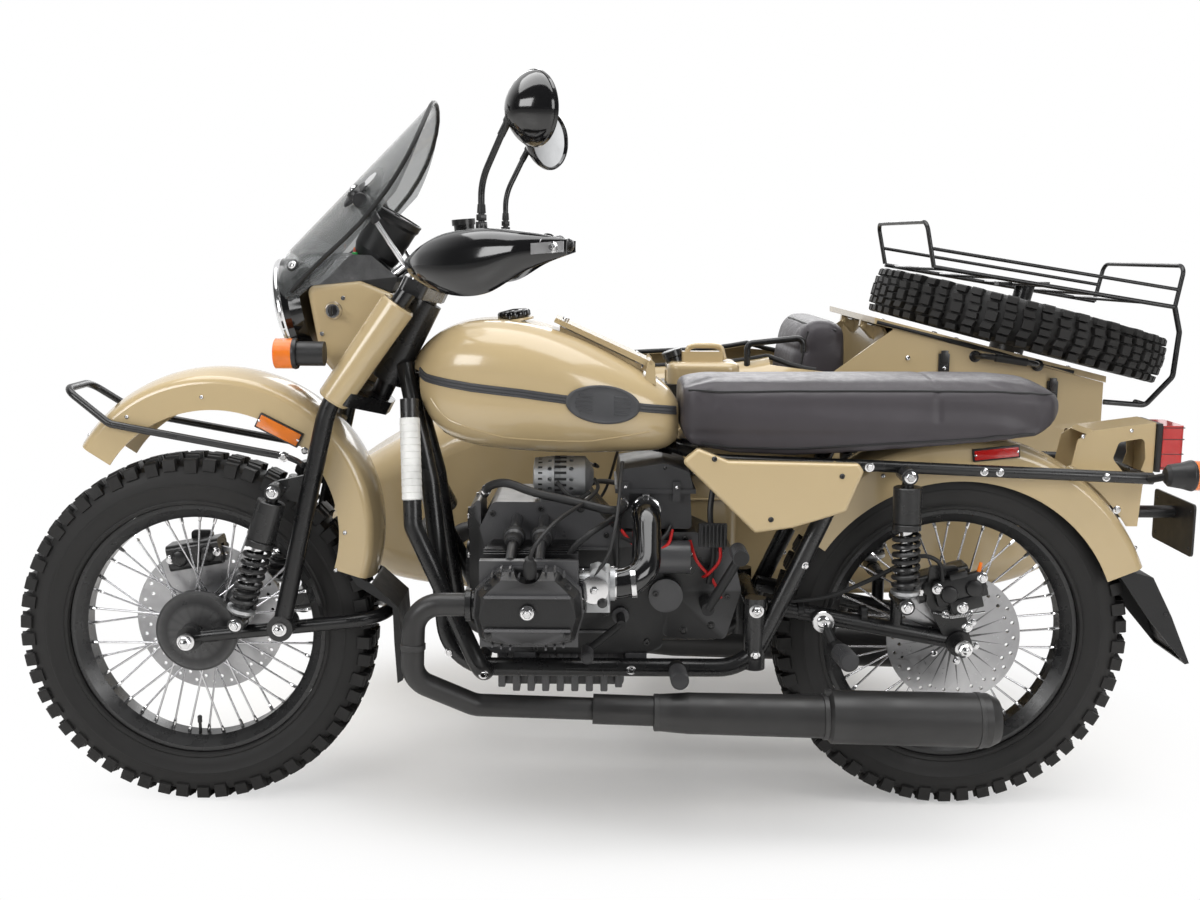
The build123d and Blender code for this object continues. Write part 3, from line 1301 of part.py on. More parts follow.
TUB_OUTER = hull(0)
with BuildPart() as lid_slab:
    plate(
        [
            (LID_FRONT_X, lid_z(LID_FRONT_X)),
            (LID_REAR_X, lid_z(LID_REAR_X)),
            (LID_REAR_X, lid_z(LID_REAR_X, LID_T)),
            (LID_FRONT_X, lid_z(LID_FRONT_X, LID_T)),
        ],
        0,
        -TUB_FAR + 200,
    )
with BuildPart() as sidecar_body:
    add(TUB_OUTER)
    add(trunk_box(0))
    add(hull(TUB_WALL), mode=Mode.SUBTRACT)
    add(trunk_box(TUB_WALL), mode=Mode.SUBTRACT)
    # cockpit opening and the rising edge of the trunk sides
    plate([(700, 1100), (690, 700), (164, 700), (164, 1100)], TUB_NEAR - 70, TUB_NEAR - 70 - (TUB_FAR + 70), mode=Mode.SUBTRACT)
    plate([(300, 1100), (300, 822), (164, 808), (34, 905), (34, 1100)], 0, 1200, mode=Mode.SUBTRACT)
    plate([(164, 640), (164, 900), (40, 900), (40, 640)], TUB_NEAR - 12, TUB_NEAR - TUB_FAR - 24, mode=Mode.SUBTRACT)
    # flat mouth under the lid
    gap = LID_T + 1
    plate(
        [(200, 1200), (200, lid_z(200, gap)), (-600, lid_z(-600, gap)), (-600, 1200)],
        0,
        1200,
        mode=Mode.SUBTRACT,
    )
    # bulkhead between the seat and the trunk
    with BuildSketch(across(BULKHEAD_X, TUB_Y, 600)) as wall:
        RectangleRounded(TUB_NEAR - TUB_FAR - 2 * TUB_WALL + 2, 2 * (lid_z(BULKHEAD_X, gap + 1) - 600), 64)
    extrude(to_extrude=wall.sketch, amount=8)
    for y in (-120, 120):
        for shift in (-16, 16):
            plate(
                [(BULKHEAD_X + 6, 870), (BULKHEAD_X + 6, 903), (HINGE_X, 910), (77, 903), (HINGE_X, 896)],
                TUB_Y + y + shift + 5,
                10,
            )
            rod(
                at(HINGE_X, TUB_Y + y + shift - 9, HINGE_Z),
                at(HINGE_X, TUB_Y + y + shift + 9, HINGE_Z),
                HINGE_PIN_R + RUN_GAP,
                mode=Mode.SUBTRACT,
            )
finish("sidecar_body", sidecar_body.part)

with BuildPart() as trunk_lid:
    with BuildPart(mode=Mode.PRIVATE) as lid_plan:
        add(trunk_box(-LID_LIP))
        add(lid_slab.part, mode=Mode.INTERSECT)
    add(lid_plan.part)
    for y in (-120, 120):
        plate(
            [(60, lid_z(60, LID_T - 2)), (62, 903), (HINGE_X, 895), (78, 903), (76, lid_z(76, LID_T - 2))],
            TUB_Y + y + 8,
            16,
        )
        rod(at(HINGE_X, TUB_Y + y - 24, HINGE_Z), at(HINGE_X, TUB_Y + y + 24, HINGE_Z), HINGE_PIN_R)
finish("trunk_lid", trunk_lid.part)

with BuildPart() as sidecar_seat:
    floor_z = TUB_FLOOR + TUB_WALL + SEAT_GAP
    plate(
        [(640, floor_z), (640, 466), (616, 484), (300, 446), (222, 446), (222, floor_z)], TUB_Y + 190, 380, 10
    )
    plate(
        [
            (221.5, floor_z), (221.5, 447), (298, 448), (222, 905), (196, 934), (140, 926), (114, 900),
            (114, floor_z),
        ],
        TUB_Y + 200,
        400,
        10,
    )
finish("sidecar_seat", sidecar_seat.part)

with BuildPart() as sidecar_fender:
    guard(at(SIDECAR_LEAD, -TRACK, TYRE_R), SIDECAR_FENDER_R, SIDECAR_FENDER_WIDTH, 90, 18, 150)
    for x in (SIDECAR_LEAD - 190, SIDECAR_LEAD + 190):
        rod(at(x, -TRACK + SIDECAR_FENDER_WIDTH / 2 - 1, 630), at(x, TUB_FAR - SEAT_GAP, 630), 10)
finish("sidecar_fender", sidecar_fender.part)

with BuildPart() as sidecar_frame:
    tube(
        [
            at(-260, TUB_NEAR - 60, RAIL_Z),
            at(980, TUB_NEAR - 60, RAIL_Z),
            at(980, TUB_FAR + 60, RAIL_Z),
            at(-260, TUB_FAR + 60, RAIL_Z),
        ],
        SIDE_RAIL_R,
        90,
    )
    rod(at(-240, TUB_NEAR - 60, RAIL_Z), at(-240, TUB_FAR + 60, RAIL_Z), SIDE_RAIL_R)
    rod(at(470, TUB_NEAR - 60, RAIL_Z), at(470, -TRACK + 60, RAIL_Z), SIDE_RAIL_R)
    # four ties to the motorcycle
    for x in (700, 440):
        tube(
            [
                at(x, -FRAME_Y - 6, FRAME_LOW_Z + 4),
                at(x, -290, FRAME_LOW_Z + 6),
                at(x, TUB_NEAR - 52, RAIL_Z + 4),
            ],
            14,
            60,
        )
    tube(
        [at(998, -64, 622), at(988, -200, 550), at(1058, -310, 480), at(1000, -390, 300), at(890, TUB_NEAR - 56, RAIL_Z)],
        13,
        30,
    )
    tube([at(185, -RAIL_Y - 2, 682), at(130, -375, 420), at(130, -385, 262), at(130, TUB_NEAR - 52, RAIL_Z)], 13, 30)
    # rubber mounts under the tub
    for x, high in ((-240, 350), (470, 300), (940, 310)):
        for y in (-TUB_WALL * 20, TUB_WALL * 20):
            block(at(x, TUB_Y + y, (RAIL_Z + high) / 2 + 6), (44, 44, high - RAIL_Z - 12), 8)
    rod(at(930, TUB_NEAR - 70, RAIL_Z), at(930, TUB_FAR + 70, RAIL_Z), SIDE_RAIL_R - 4)
    add(hull(-SEAT_GAP), mode=Mode.SUBTRACT)
    tube(
        [
            at(1050, -20, 860),
            at(1000, -60, 640),
            at(960, -FRAME_Y, FRAME_LOW_Z),
            at(400, -FRAME_Y, FRAME_LOW_Z),
            at(220, -RAIL_Y, 690),
        ],
        FRAME_R + SEAT_GAP,
        90,
        Mode.SUBTRACT,
    )
    rod(at(300, -RAIL_Y, 689.7), at(80, -RAIL_Y, 680.8), RAIL_R + SEAT_GAP + 0.4, mode=Mode.SUBTRACT)
    # trailing arm and axle of the sidecar wheel
    rod(at(490, SIDE_ARM_Y, RAIL_Z + 8), at(SIDECAR_LEAD, SIDE_ARM_Y, TYRE_R), 18)
    rod(at(470, -TRACK + 60, RAIL_Z), at(490, SIDE_ARM_Y, RAIL_Z + 8), SIDE_RAIL_R)
    rod(at(SIDECAR_LEAD, SIDE_ARM_Y + 16, TYRE_R), at(SIDECAR_LEAD, SIDE_ARM_Y - 14, TYRE_R), LUG_R)
    rod(at(SIDECAR_LEAD, SIDE_ARM_Y, TYRE_R), at(SIDECAR_LEAD, -TRACK - 70, TYRE_R), AXLE_R)
    rod(at(SIDECAR_LEAD, -TRACK - HUB_HALF - MOVE_GAP, TYRE_R), at(SIDECAR_LEAD, -TRACK - 70, TYRE_R), 20)
    # brake bracket up to the caliper
    plate(
        [
            (SIDECAR_LEAD - 22, TYRE_R),
            (SIDECAR_LEAD + 22, TYRE_R),
            (SIDECAR_LEAD + 20, TYRE_R + 140),
            (SIDECAR_LEAD - 44, TYRE_R + 140),
        ],
        DISC_Y - TRACK + CALIPER_HALF + SEAT_GAP + BRACKET_T,
        BRACKET_T,
        8,
    )
finish("sidecar_frame", sidecar_frame.part)


with BuildPart() as grab_loop:
    tube([at(225, TUB_NEAR - 40, 822), at(225, TUB_NEAR - 40, 882), at(350, TUB_NEAR - 40, 868), at(350, TUB_NEAR - 40, 812)], 7, 14)
    add(TUB_OUTER, mode=Mode.SUBTRACT)

JERRY_X = 461.0
JERRY_Y = -330.0
with BuildPart() as jerry_can:
    block(at(JERRY_X, JERRY_Y, 625), (154, 130, 430), 28)
    fillet(jerry_can.edges().group_by(Axis.Z)[-1], 14)
    block(at(JERRY_X, JERRY_Y, 850), (90, 30, 20), 6)
finish("jerry_can", jerry_can.part)

with BuildPart() as sidecar_fittings:
    add(grab_loop.part)
    block(at(JERRY_X, JERRY_Y, 620), (172, 146, 30), 30)
    block(at(JERRY_X, JERRY_Y, 780), (172, 146, 30), 30)
    block(at(JERRY_X, JERRY_Y, 402), (172, 146, 12), 10)
    block(at(JERRY_X, JERRY_Y, 640), (154.6, 130.6, 462), 28, mode=Mode.SUBTRACT)
    block(at(JERRY_X, JERRY_Y, 402), (172, 146, 12), 10)
    for x in (JERRY_X - 60, JERRY_X + 60):
        block(at(x, JERRY_Y - 75.2, 590), (20, 9, 400))
finish("sidecar_fittings", sidecar_fittings.part)

# ---------------------------------------------------------------- spare wheel rack
RACK_R = 5.0
RACK_NEAR = -450.0
RACK_FAR = -770.0
with BuildPart() as rack:
    tube(
        [at(-60, RACK_NEAR, 1040), at(-40, RACK_NEAR, 1140), at(0, RACK_FAR, 1140), at(-20, RACK_FAR, 1044)], RACK_R, 20
    )
    tube(
        [at(-602, RACK_NEAR, 955), at(-618, RACK_NEAR, 1047), at(-560, RACK_FAR, 1047), at(-540, RACK_FAR, 955)], RACK_R, 20
    )
    rod(at(-52, RACK_NEAR, 1082), at(-610, RACK_NEAR, 994), RACK_R - 1)
    rod(at(-60, RACK_NEAR, 1041), at(-600, RACK_NEAR, 956), RACK_R)
    rod(at(-10, RACK_FAR, 1082), at(-548, RACK_FAR, 996), RACK_R - 1)
    rod(at(-20, RACK_FAR, 1041), at(-541, RACK_FAR, 956), RACK_R)
    for i in range(5):
        x = -90 - i * 112
        z = 1036 + (x + 90) * 0.157
        rod(at(x, RACK_NEAR, z), at(x + 48, RACK_FAR, z), RACK_R - 1)
    tube(
        [at(-602, RACK_NEAR, 955), at(-616, RACK_NEAR, 900), at(-608, RACK_NEAR, 800), at(-550, RACK_NEAR, 735), at(-456, RACK_NEAR, 742)],
        RACK_R + 1,
        20,
    )
    # carrier from the lid up through the spare wheel's hub to the basket
    lean = Location(SPARE, (0, -SPARE_TILT, 0))
    hub_foot = lean * Location((0, 0, -HUB_HALF - SEAT_GAP))
    below = lean * Location((0, 0, -200))
    hub_top = lean * Location((0, 0, HUB_HALF + SEAT_GAP))
    above = lean * Location((0, 0, 99))
    rod(below.position, hub_foot.position, 40)
    rod(below.position, above.position, HUB_BORE - 2 * RUN_GAP)
    rod(hub_top.position, above.position, 22)
    block(at(-318, SPARE_Y, 1001), (120, 46, 8), 6)
    plate(
        [(200, lid_z(200)), (200, 500), (-520, 500), (-520, lid_z(-520))],
        SPARE_Y + 60,
        120,
        mode=Mode.SUBTRACT,
    )
    # rear post's foot down to the lid
    rod(at(-548, RACK_NEAR, 737), at(-548, RACK_NEAR - 50, 737), RACK_R + 1)
finish("rack", rack.part)


# ---------------------------------------------------------------- small pieces
TOOL_HINGE_X = 587.0
TOOL_HINGE_Z = 868.0
with BuildPart() as tank_lid:
    with BuildPart(mode=Mode.PRIVATE) as panel:
        plate([(768, 942), (764, 950), (592, 872), (586, 866), (590, 860), (596, 861.5)], 56, 112, 2)
    add(panel.part)
    rod(at(TOOL_HINGE_X, -66, TOOL_HINGE_Z), at(TOOL_HINGE_X, 66, TOOL_HINGE_Z), 3)
finish("tank_lid", tank_lid.part)

with BuildPart() as fuel_cap:
    rod(at(840, 0, 925), at(846, 0, 964), 30)
    add(fuel_tank.part, mode=Mode.SUBTRACT)
finish("fuel_cap", fuel_cap.part)

PAD_T = 5.0
with BuildPart() as pad_skin:
    for x, width, low, top, corner in TANK:
        with BuildSketch(across(x, 0, (low + top) / 2)):
            RectangleRounded(width + 2 * PAD_T, top - low, corner)
    loft()
with BuildPart() as knee_pads:
    for s in (1, -1):
        with BuildSketch(side(160 if s > 0 else -60)) as pad:
            with Locations((676, 796)):
                Ellipse(68, 35)
        extrude(to_extrude=pad.sketch, amount=100)
    add(pad_skin.part, mode=Mode.INTERSECT)
    add(fuel_tank.part, mode=Mode.SUBTRACT)
finish("knee_pads", knee_pads.part)

with BuildPart() as foot_controls:
    for s in (1, -1):
        rod(at(536, s * (FRAME_Y + FRAME_R + SEAT_GAP), 306), at(536, s * 250, 316), 14)
        peg_y = SWING_Y + SWING_R + SEAT_GAP
        rod(at(262, s * peg_y, 391), at(262, s * (peg_y + 22), 391), 19)
        rod(at(262, s * (peg_y + 14), 391), at(240, s * (peg_y + 34), 345), 9)
        rod(at(240, s * (peg_y + 26), 343), at(232, s * 236, 348), 16)
    # gear lever and brake pedal
    for s in (1, -1):
        rod(at(640, s * 106.5, 395), at(640, s * 166, 395), 8)
        rod(at(640, s * 160, 395), at(702, s * 166, 346), 7)
        rod(at(702, s * 150, 345), at(702, s * 214, 345), 9)
    rod(at(480, 85 + SEAT_GAP, 420), at(480, 150, 420), 12)
    rod(at(480, 144, 420), at(420, 150, 525), 9)
    rod(at(426, 130, 528), at(426, 196, 528), 14)
finish("foot_controls", foot_controls.part)

with BuildPart() as intakes:
    for s in (1, -1):
        rod(
            at(CYL_X - FIN_LENGTH / 2 - SEAT_GAP, s * THROTTLE_Y, THROTTLE_Z),
            at(652, s * THROTTLE_Y, THROTTLE_Z),
            22,
        )
        block(at(680, s * THROTTLE_Y, THROTTLE_Z), (34, 66, 58), 8)
        block(at(684, s * (THROTTLE_Y + 8), THROTTLE_Z - 34), (44, 30, 22), 4)
        rod(at(684, s * (THROTTLE_Y - 6), THROTTLE_Z + 24), at(684, s * (THROTTLE_Y + 40), THROTTLE_Z + 24), 14)
        rod(at(664, s * THROTTLE_Y, THROTTLE_Z), at(654, s * THROTTLE_Y, THROTTLE_Z), 29)
        tube(
            [
                at(658, s * THROTTLE_Y, THROTTLE_Z),
                at(600, s * THROTTLE_Y, THROTTLE_Z + 6),
                at(596, s * 190, 600),
                at(596, s * (92 + SEAT_GAP), 600),
            ],
            26,
            48,
        )
    # alternator
    turned(
        at(806, 50, 652),
        (-1, 0, 0),
        [(0, 18), (3, 34), (40, 38), (42, 36), (50, 36), (52, 38), (98, 38), (106, 28), (114, 12)],
    )
    for i in range(12):
        a = radians(30 * i)
        for x in (774, 734):
            rod(
                at(x, 50 + 27 * cos(a), 652 + 27 * sin(a)),
                at(x, 50 + 42 * cos(a), 652 + 42 * sin(a)),
                4,
                mode=Mode.SUBTRACT,
            )
    block(at(760, 50, 614 + SEAT_GAP), (70, 40, 8), 4)
finish("intakes", intakes.part)


PLATE_HOLE_R = 3.0
PLATE_SPAN_Y = 150.0
PLATE_SPAN_Z = 70.0
PLATE_X = -436.0
PLATE_Z = 560.0
with BuildPart() as plate_bracket:
    with BuildSketch(across(PLATE_X, 0, PLATE_Z)) as face:
        RectangleRounded(180, 100, 8)
        with GridLocations(PLATE_SPAN_Y, PLATE_SPAN_Z, 2, 2):
            Circle(PLATE_HOLE_R, mode=Mode.SUBTRACT)
    extrude(to_extrude=face.sketch, amount=4)
    rod(at(PLATE_X + 3, 0, PLATE_Z + 20), at(-300, 0, PLATE_Z + 20), 12)
    rod(at(0, 100, TYRE_R), at(0, -100, TYRE_R), REAR_FENDER_R + SEAT_GAP, mode=Mode.SUBTRACT)
finish("plate_bracket", plate_bracket.part)
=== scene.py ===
import bpy
import bmesh
import json
import math
from math import sin, cos, tan, pi, radians
from mathutils import Vector, Matrix
from mathutils.bvhtree import BVHTree

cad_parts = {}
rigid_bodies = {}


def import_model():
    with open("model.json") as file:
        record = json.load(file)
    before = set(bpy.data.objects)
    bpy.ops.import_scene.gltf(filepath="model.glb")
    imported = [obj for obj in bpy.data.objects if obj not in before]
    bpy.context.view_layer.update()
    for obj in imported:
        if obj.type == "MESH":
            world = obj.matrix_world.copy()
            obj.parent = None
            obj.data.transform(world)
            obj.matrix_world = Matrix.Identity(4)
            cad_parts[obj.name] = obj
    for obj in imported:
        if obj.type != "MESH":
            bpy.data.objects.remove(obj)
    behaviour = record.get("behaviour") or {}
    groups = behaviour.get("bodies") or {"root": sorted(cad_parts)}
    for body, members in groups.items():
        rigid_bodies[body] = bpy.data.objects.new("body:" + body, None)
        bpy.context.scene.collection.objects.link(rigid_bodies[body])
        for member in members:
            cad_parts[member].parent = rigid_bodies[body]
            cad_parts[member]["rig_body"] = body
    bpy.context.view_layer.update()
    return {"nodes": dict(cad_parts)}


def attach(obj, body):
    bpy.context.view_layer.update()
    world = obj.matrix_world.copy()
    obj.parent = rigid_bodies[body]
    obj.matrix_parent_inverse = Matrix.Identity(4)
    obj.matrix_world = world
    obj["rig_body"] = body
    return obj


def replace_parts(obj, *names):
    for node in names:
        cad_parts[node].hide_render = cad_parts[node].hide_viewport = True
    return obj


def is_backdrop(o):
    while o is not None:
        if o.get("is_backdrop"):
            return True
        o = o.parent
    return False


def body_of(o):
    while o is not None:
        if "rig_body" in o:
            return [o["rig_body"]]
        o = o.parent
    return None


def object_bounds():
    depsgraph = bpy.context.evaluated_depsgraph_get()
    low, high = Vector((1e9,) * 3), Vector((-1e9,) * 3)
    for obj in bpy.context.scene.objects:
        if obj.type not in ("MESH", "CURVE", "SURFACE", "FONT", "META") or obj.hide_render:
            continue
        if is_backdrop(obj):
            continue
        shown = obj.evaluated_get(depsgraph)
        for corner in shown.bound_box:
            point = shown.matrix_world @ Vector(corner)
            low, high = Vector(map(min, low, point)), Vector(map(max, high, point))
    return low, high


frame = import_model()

# Points are vectors in metres in the row frame. Sizes of sections, heads and boxes are millimetres, and so are the
# numbers given to at(), which count from the rear axle, the wheel plane and the ground.
NODES = frame["nodes"]
SC = bpy.context.scene
X, Y, Z = Vector((1, 0, 0)), Vector((0, 1, 0)), Vector((0, 0, 1))
SIDES = (1, -1)
WHEELBASE, TYRE_R, TRACK, LEAD = 1455.0, 343.0, 1140.0, 250.0
OX = -(WHEELBASE + TYRE_R - 645.0) / 2
OY = (TRACK + 85.0 - 450.0) / 2
SIDECAR_Y = (-410.0 - 965.0) / 2


def at(x, y, z):
    return Vector(((OX + x) / 1000, (OY + y) / 1000, z / 1000))


def mm(p):
    """The way back from at()."""
    return p[0] * 1000 - OX, p[1] * 1000 - OY, p[2] * 1000


# ------------------------------------------------------------------ materials
def plug(tree, node, inputs):
    """Sets a node's inputs: each takes a value or another node's output."""
    for key, v in inputs.items():
        if isinstance(v, bpy.types.NodeSocket):
            tree.links.new(v, node.inputs[key])
        else:
            node.inputs[key].default_value = v


def shader(tree, kind, inputs={}, **props):
    node = tree.nodes.new("ShaderNode" + kind)
    for key, v in props.items():
        setattr(node, key, v)
    plug(tree, node, inputs)
    return node


def field(tree, vec, kind, *spec):
    """A texture: noise by its scale, detail and roughness, or cells or bands by their scale."""
    if kind == "BANDS":
        return shader(tree, "TexWave", {"Vector": vec, "Scale": spec[0], "Distortion": 0.0},
                      wave_type="BANDS", bands_direction="Z").outputs["Fac"]
    if isinstance(kind, str):
        return shader(tree, "TexVoronoi", {"Vector": vec, "Scale": spec[0]}, feature=kind).outputs["Distance"]
    detail, rough = (*spec, 0.55)[:2]
    return shader(tree, "TexNoise", {"Vector": vec, "Scale": kind, "Detail": detail, "Roughness": rough}).outputs["Fac"]


def remap(tree, value, lo, hi, a=0.3, b=0.7):
    ends = {"Value": value, "From Min": a, "From Max": b, "To Min": lo, "To Max": hi}
    return shader(tree, "MapRange", ends).outputs["Result"]


def shades(col, *shares):
    return [tuple(min(1, c * k) for c in col) for k in shares]


def finish(name, tones, base, rough, relief, over=None, span=(0.3, 0.7), **inputs):
    """Material of two tones mixed by a noise.

    rough is a number, or a texture (None: the base's) and its range. relief is a texture, a strength and a depth.
    over is a texture (None: worn edges), its greatest share and the colour it lays over the tones."""
    mat = bpy.data.materials.new(name)
    mat.use_nodes = True
    tree = mat.node_tree
    vec = shader(tree, "Mapping", {"Vector": shader(tree, "TexCoord").outputs["Object"]}).outputs["Vector"]
    ground = field(tree, vec, *base)
    ramp = shader(tree, "ValToRGB", {"Fac": ground})
    for stop, place, col in zip(ramp.color_ramp.elements, span, tones):
        stop.position, stop.color = place, (*col, 1)
    colour = ramp.outputs["Color"]
    if over:
        texture, most, tint = over
        if texture:
            mask = remap(tree, field(tree, vec, *texture), 0.0, most, 0.5, 0.72)
        else:
            mask = remap(tree, shader(tree, "NewGeometry").outputs["Pointiness"], 0.0, most, 0.5, 0.56)
        layers = {"Factor": mask, "A": colour, "B": (*tint, 1)}
        colour = shader(tree, "Mix", layers, data_type="RGBA").outputs["Result"]
    if isinstance(rough, tuple):
        rough = remap(tree, field(tree, vec, *rough[0]) if rough[0] else ground, *rough[1:])
    texture, strength, depth = relief
    height = {"Height": field(tree, vec, *texture), "Strength": strength, "Distance": depth}
    inputs = {key.replace("_", " "): v for key, v in inputs.items()}
    inputs.update({"Base Color": colour, "Roughness": rough, "Normal": shader(tree, "Bump", height).outputs["Normal"]})
    plug(tree, tree.nodes["Principled BSDF"], inputs)
    return mat


def srgb(*rgb):
    return tuple(c / 3294.6 if c / 255 <= 0.04045 else ((c / 255 + 0.055) / 1.055) ** 2.4 for c in rgb)


def gloss_paint(name, col, rough, coat, var):
    return finish(name, shades(col, 1 - var, 1 + var), (2.3, 3), ((5, 2), rough - 0.02, rough + 0.02, 0.1, 0.9),
                  ((160, 2), 0.04, 0.0004), span=(0.35, 0.65), Coat_Weight=coat, Coat_Roughness=0.08)


def satin_metal(name, col, rough, metallic, var, wear=None, grain=120, strength=0.08):
    return finish(name, shades(col, 1 - var, 1 + var), (6, 5), ((22, 4), rough - 0.07, rough + 0.09),
                  ((grain, 3), strength, 0.0006), wear and (None, *wear), Metallic=metallic)


def moulded(name, col, rough, grain=700, strength=0.12):
    return finish(name, shades(col, 0.85, 1.15), (12, 4), ((30, 3), rough - 0.06, rough + 0.08),
                  ((grain, 2), strength, 0.0004))


def rubber(name, col, dust, rough):
    return finish(name, shades(col, 0.7, 1.4), (25, 6, 0.65), (None, rough - 0.08, rough + 0.12),
                  ((420, 4), 0.2, 0.0005), ((3.5, 3), 0.18, dust), (0.3, 0.75), Specular_IOR_Level=0.42)


def lens(name, col, glow):
    return finish(name, shades(col, 0.75, 1), (30, 2), 0.12, (("BANDS", 300), 0.35, 0.001), Transmission_Weight=0.35,
                  IOR=1.49, Coat_Weight=0.5, Emission_Color=(*col, 1), Emission_Strength=glow)


def glass(name, col, alpha, rough, clear):
    return finish(name, shades(col, 0.94, 1), (8, 3), rough, ((5, 1), 0.02, 0.001), Transmission_Weight=clear,
                  IOR=1.3, Alpha=alpha)


def plated(name, col, rough):
    return finish(name, shades(col, 0.88, 1), (30, 4), (None, rough, rough + 0.08, 0.3, 0.8), ((90, 2), 0.03, 0.0004),
                  Metallic=1.0)


TAN = gloss_paint("sand_paint", srgb(180, 160, 122), 0.22, 0.6, 0.025)
BLACK = satin_metal("black_satin_paint", (0.006, 0.006, 0.0065), 0.27, 0.0, 0.25, (0.25, (0.06, 0.06, 0.06)))
GLOSSB = gloss_paint("black_gloss_plastic", (0.004, 0.004, 0.0045), 0.12, 0.5, 0.1)
EXHAUST = satin_metal("black_heat_paint", (0.014, 0.0135, 0.0135), 0.42, 0.0, 0.25, (0.2, (0.08, 0.08, 0.08)),
                      200, 0.12)
ENGINE = finish("engine_black", shades((0.008, 0.008, 0.0085), 0.75, 1.3), (10, 4), (None, 0.24, 0.44),
                (("SMOOTH_F1", 420), 0.25, 0.0006), (None, 0.25, (0.22, 0.22, 0.23)))
ALLOY = finish("cast_alloy", shades((0.55, 0.56, 0.57), 0.7, 1), (14, 6), ((40, 5), 0.32, 0.56),
               ((300, 4), 0.18, 0.0006), span=(0.25, 0.75), Metallic=0.9)
CHROME = plated("polished_chrome", (0.75, 0.75, 0.76), 0.09)
STEEL = plated("spoke_steel", (0.62, 0.62, 0.64), 0.2)
DISC = finish("disc_steel", ((0.34, 0.34, 0.35), (0.5, 0.5, 0.51)), (8, 3), ((180, 5, 0.7), 0.26, 0.42),
              ((180, 5, 0.7), 0.1, 0.0004), Metallic=1.0)
HUB = satin_metal("hub_black", (0.016, 0.016, 0.017), 0.32, 0.2, 0.2, (0.3, (0.2, 0.2, 0.2)))
PLASTIC = moulded("black_plastic", (0.010, 0.010, 0.0105), 0.42)
GREYPL = moulded("dark_grey_plastic", (0.026, 0.026, 0.028), 0.46)
RUBBER = rubber("black_rubber", (0.010, 0.010, 0.0105), (0.024, 0.024, 0.024), 0.5)
TYRE = rubber("tyre_rubber", (0.009, 0.0085, 0.0083), (0.026, 0.024, 0.0225), 0.56)
BAND = moulded("band_rubber", (0.045, 0.046, 0.05), 0.55, 500, 0.15)
VINYL = finish("black_vinyl", shades((0.046, 0.041, 0.046), 0.85, 1.2), (5, 4), ((60, 3), 0.36, 0.5),
               (("DISTANCE_TO_EDGE", 620), 0.35, 0.0006), Specular_IOR_Level=0.36)
PIPING = moulded("seat_piping", (0.012, 0.012, 0.013), 0.42)
AMBER = lens("amber_lens", (0.9, 0.22, 0.01), 0.12)
RED = lens("red_lens", (0.6, 0.008, 0.006), 0.12)
CLEAR = glass("clear_glass", (0.93, 0.95, 0.96), 0.32, 0.02, 0.9)
SMOKED = glass("smoked_screen", (0.2, 0.21, 0.21), 0.55, 0.03, 0.75)
RED_WIRE = moulded("red_wire", (0.5, 0.01, 0.01), 0.4)
FLOOR = finish("studio_floor", ((0.80, 0.785, 0.765), (0.88, 0.87, 0.85)), (1.2, 5), 0.35, ((60, 4), 0.03, 0.001))

NODE_MAT = {name: mat for mat, names in (
    (TYRE, "front_tyre rear_tyre sidecar_tyre spare_tyre"),
    (STEEL, "front_wheel rear_wheel sidecar_wheel spare_wheel"),
    (TAN, "front_fender nacelle rear_fender fuel_tank side_covers sidecar_body trunk_lid sidecar_fender jerry_can"),
    (TAN, "tank_lid"), (RUBBER, "front_flap rear_flap grips knee_pads foot_controls"),
    (GLOSSB, "headlight hand_guards mirrors"), (CLEAR, "headlight_glass"), (SMOKED, "windshield"),
    (PLASTIC, "dash fuel_cap plate_bracket"), (AMBER, "front_indicators rear_indicators"), (RED, "tail_lamp"),
    (ENGINE, "engine_case cylinders valve_covers"), (EXHAUST, "exhausts"), (GREYPL, "air_box"),
    (VINYL, "seat sidecar_seat"), (ALLOY, "intakes"),
) for name in names.split()}
for name, node in NODES.items():
    node.data.materials.clear()
    node.data.materials.append(NODE_MAT.get(name, BLACK))


# ------------------------------------------------------------------ mesh helpers
def add_mesh(name, verts, faces, mats, body, face_mats=(), angle=35):
    me = bpy.data.meshes.new(name)
    me.from_pydata([tuple(v) for v in verts], [], faces)
    me.validate()
    me.update()
    for m in mats:
        me.materials.append(m)
    for p, i in zip(me.polygons, face_mats):
        p.material_index = i
    ob = bpy.data.objects.new(name, me)
    SC.collection.objects.link(ob)
    smooth(me)
    me.set_sharp_from_angle(angle=radians(angle))
    if body:
        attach(ob, body)
    return ob


def smooth(me):
    for p in me.polygons:
        p.use_smooth = True


def square_to(t):
    """Two directions square to t and to each other."""
    u = t.cross(Z if abs(t.z) < 0.9 else X).normalized()
    return u, t.cross(u)


def oval(c, u, w, ru, rw, seg):
    turns = [2 * pi * i / seg for i in range(seg)]
    return [c + u * (cos(a) * ru / 1000) + w * (sin(a) * rw / 1000) for a in turns]


def tube_faces(rows, n, ends=True):
    """Faces between rings of n points."""
    faces = []
    for k in range(rows - 1):
        for i in range(n):
            j = (i + 1) % n
            faces.append([k * n + i, k * n + j, (k + 1) * n + j, (k + 1) * n + i])
    if ends:
        faces += [list(range(n))[::-1], [(rows - 1) * n + i for i in range(n)]]
    return faces


def arc_pts(points, share=0.45, n=8, s=1):
    """Smooth line that rounds the corners of a route of vectors, or of at() numbers on side s."""
    pts = [p if isinstance(p, Vector) else at(p[0], s * p[1], p[2]) for p in points]
    out = [pts[0]]
    for a, b, c in zip(pts, pts[1:], pts[2:]):
        p = b + (a - b) * share
        q = b + (c - b) * share
        for i in range(n + 1):
            t = i / n
            out.append(p * (1 - t) ** 2 + b * 2 * t * (1 - t) + q * t * t)
    return out + [pts[-1]]


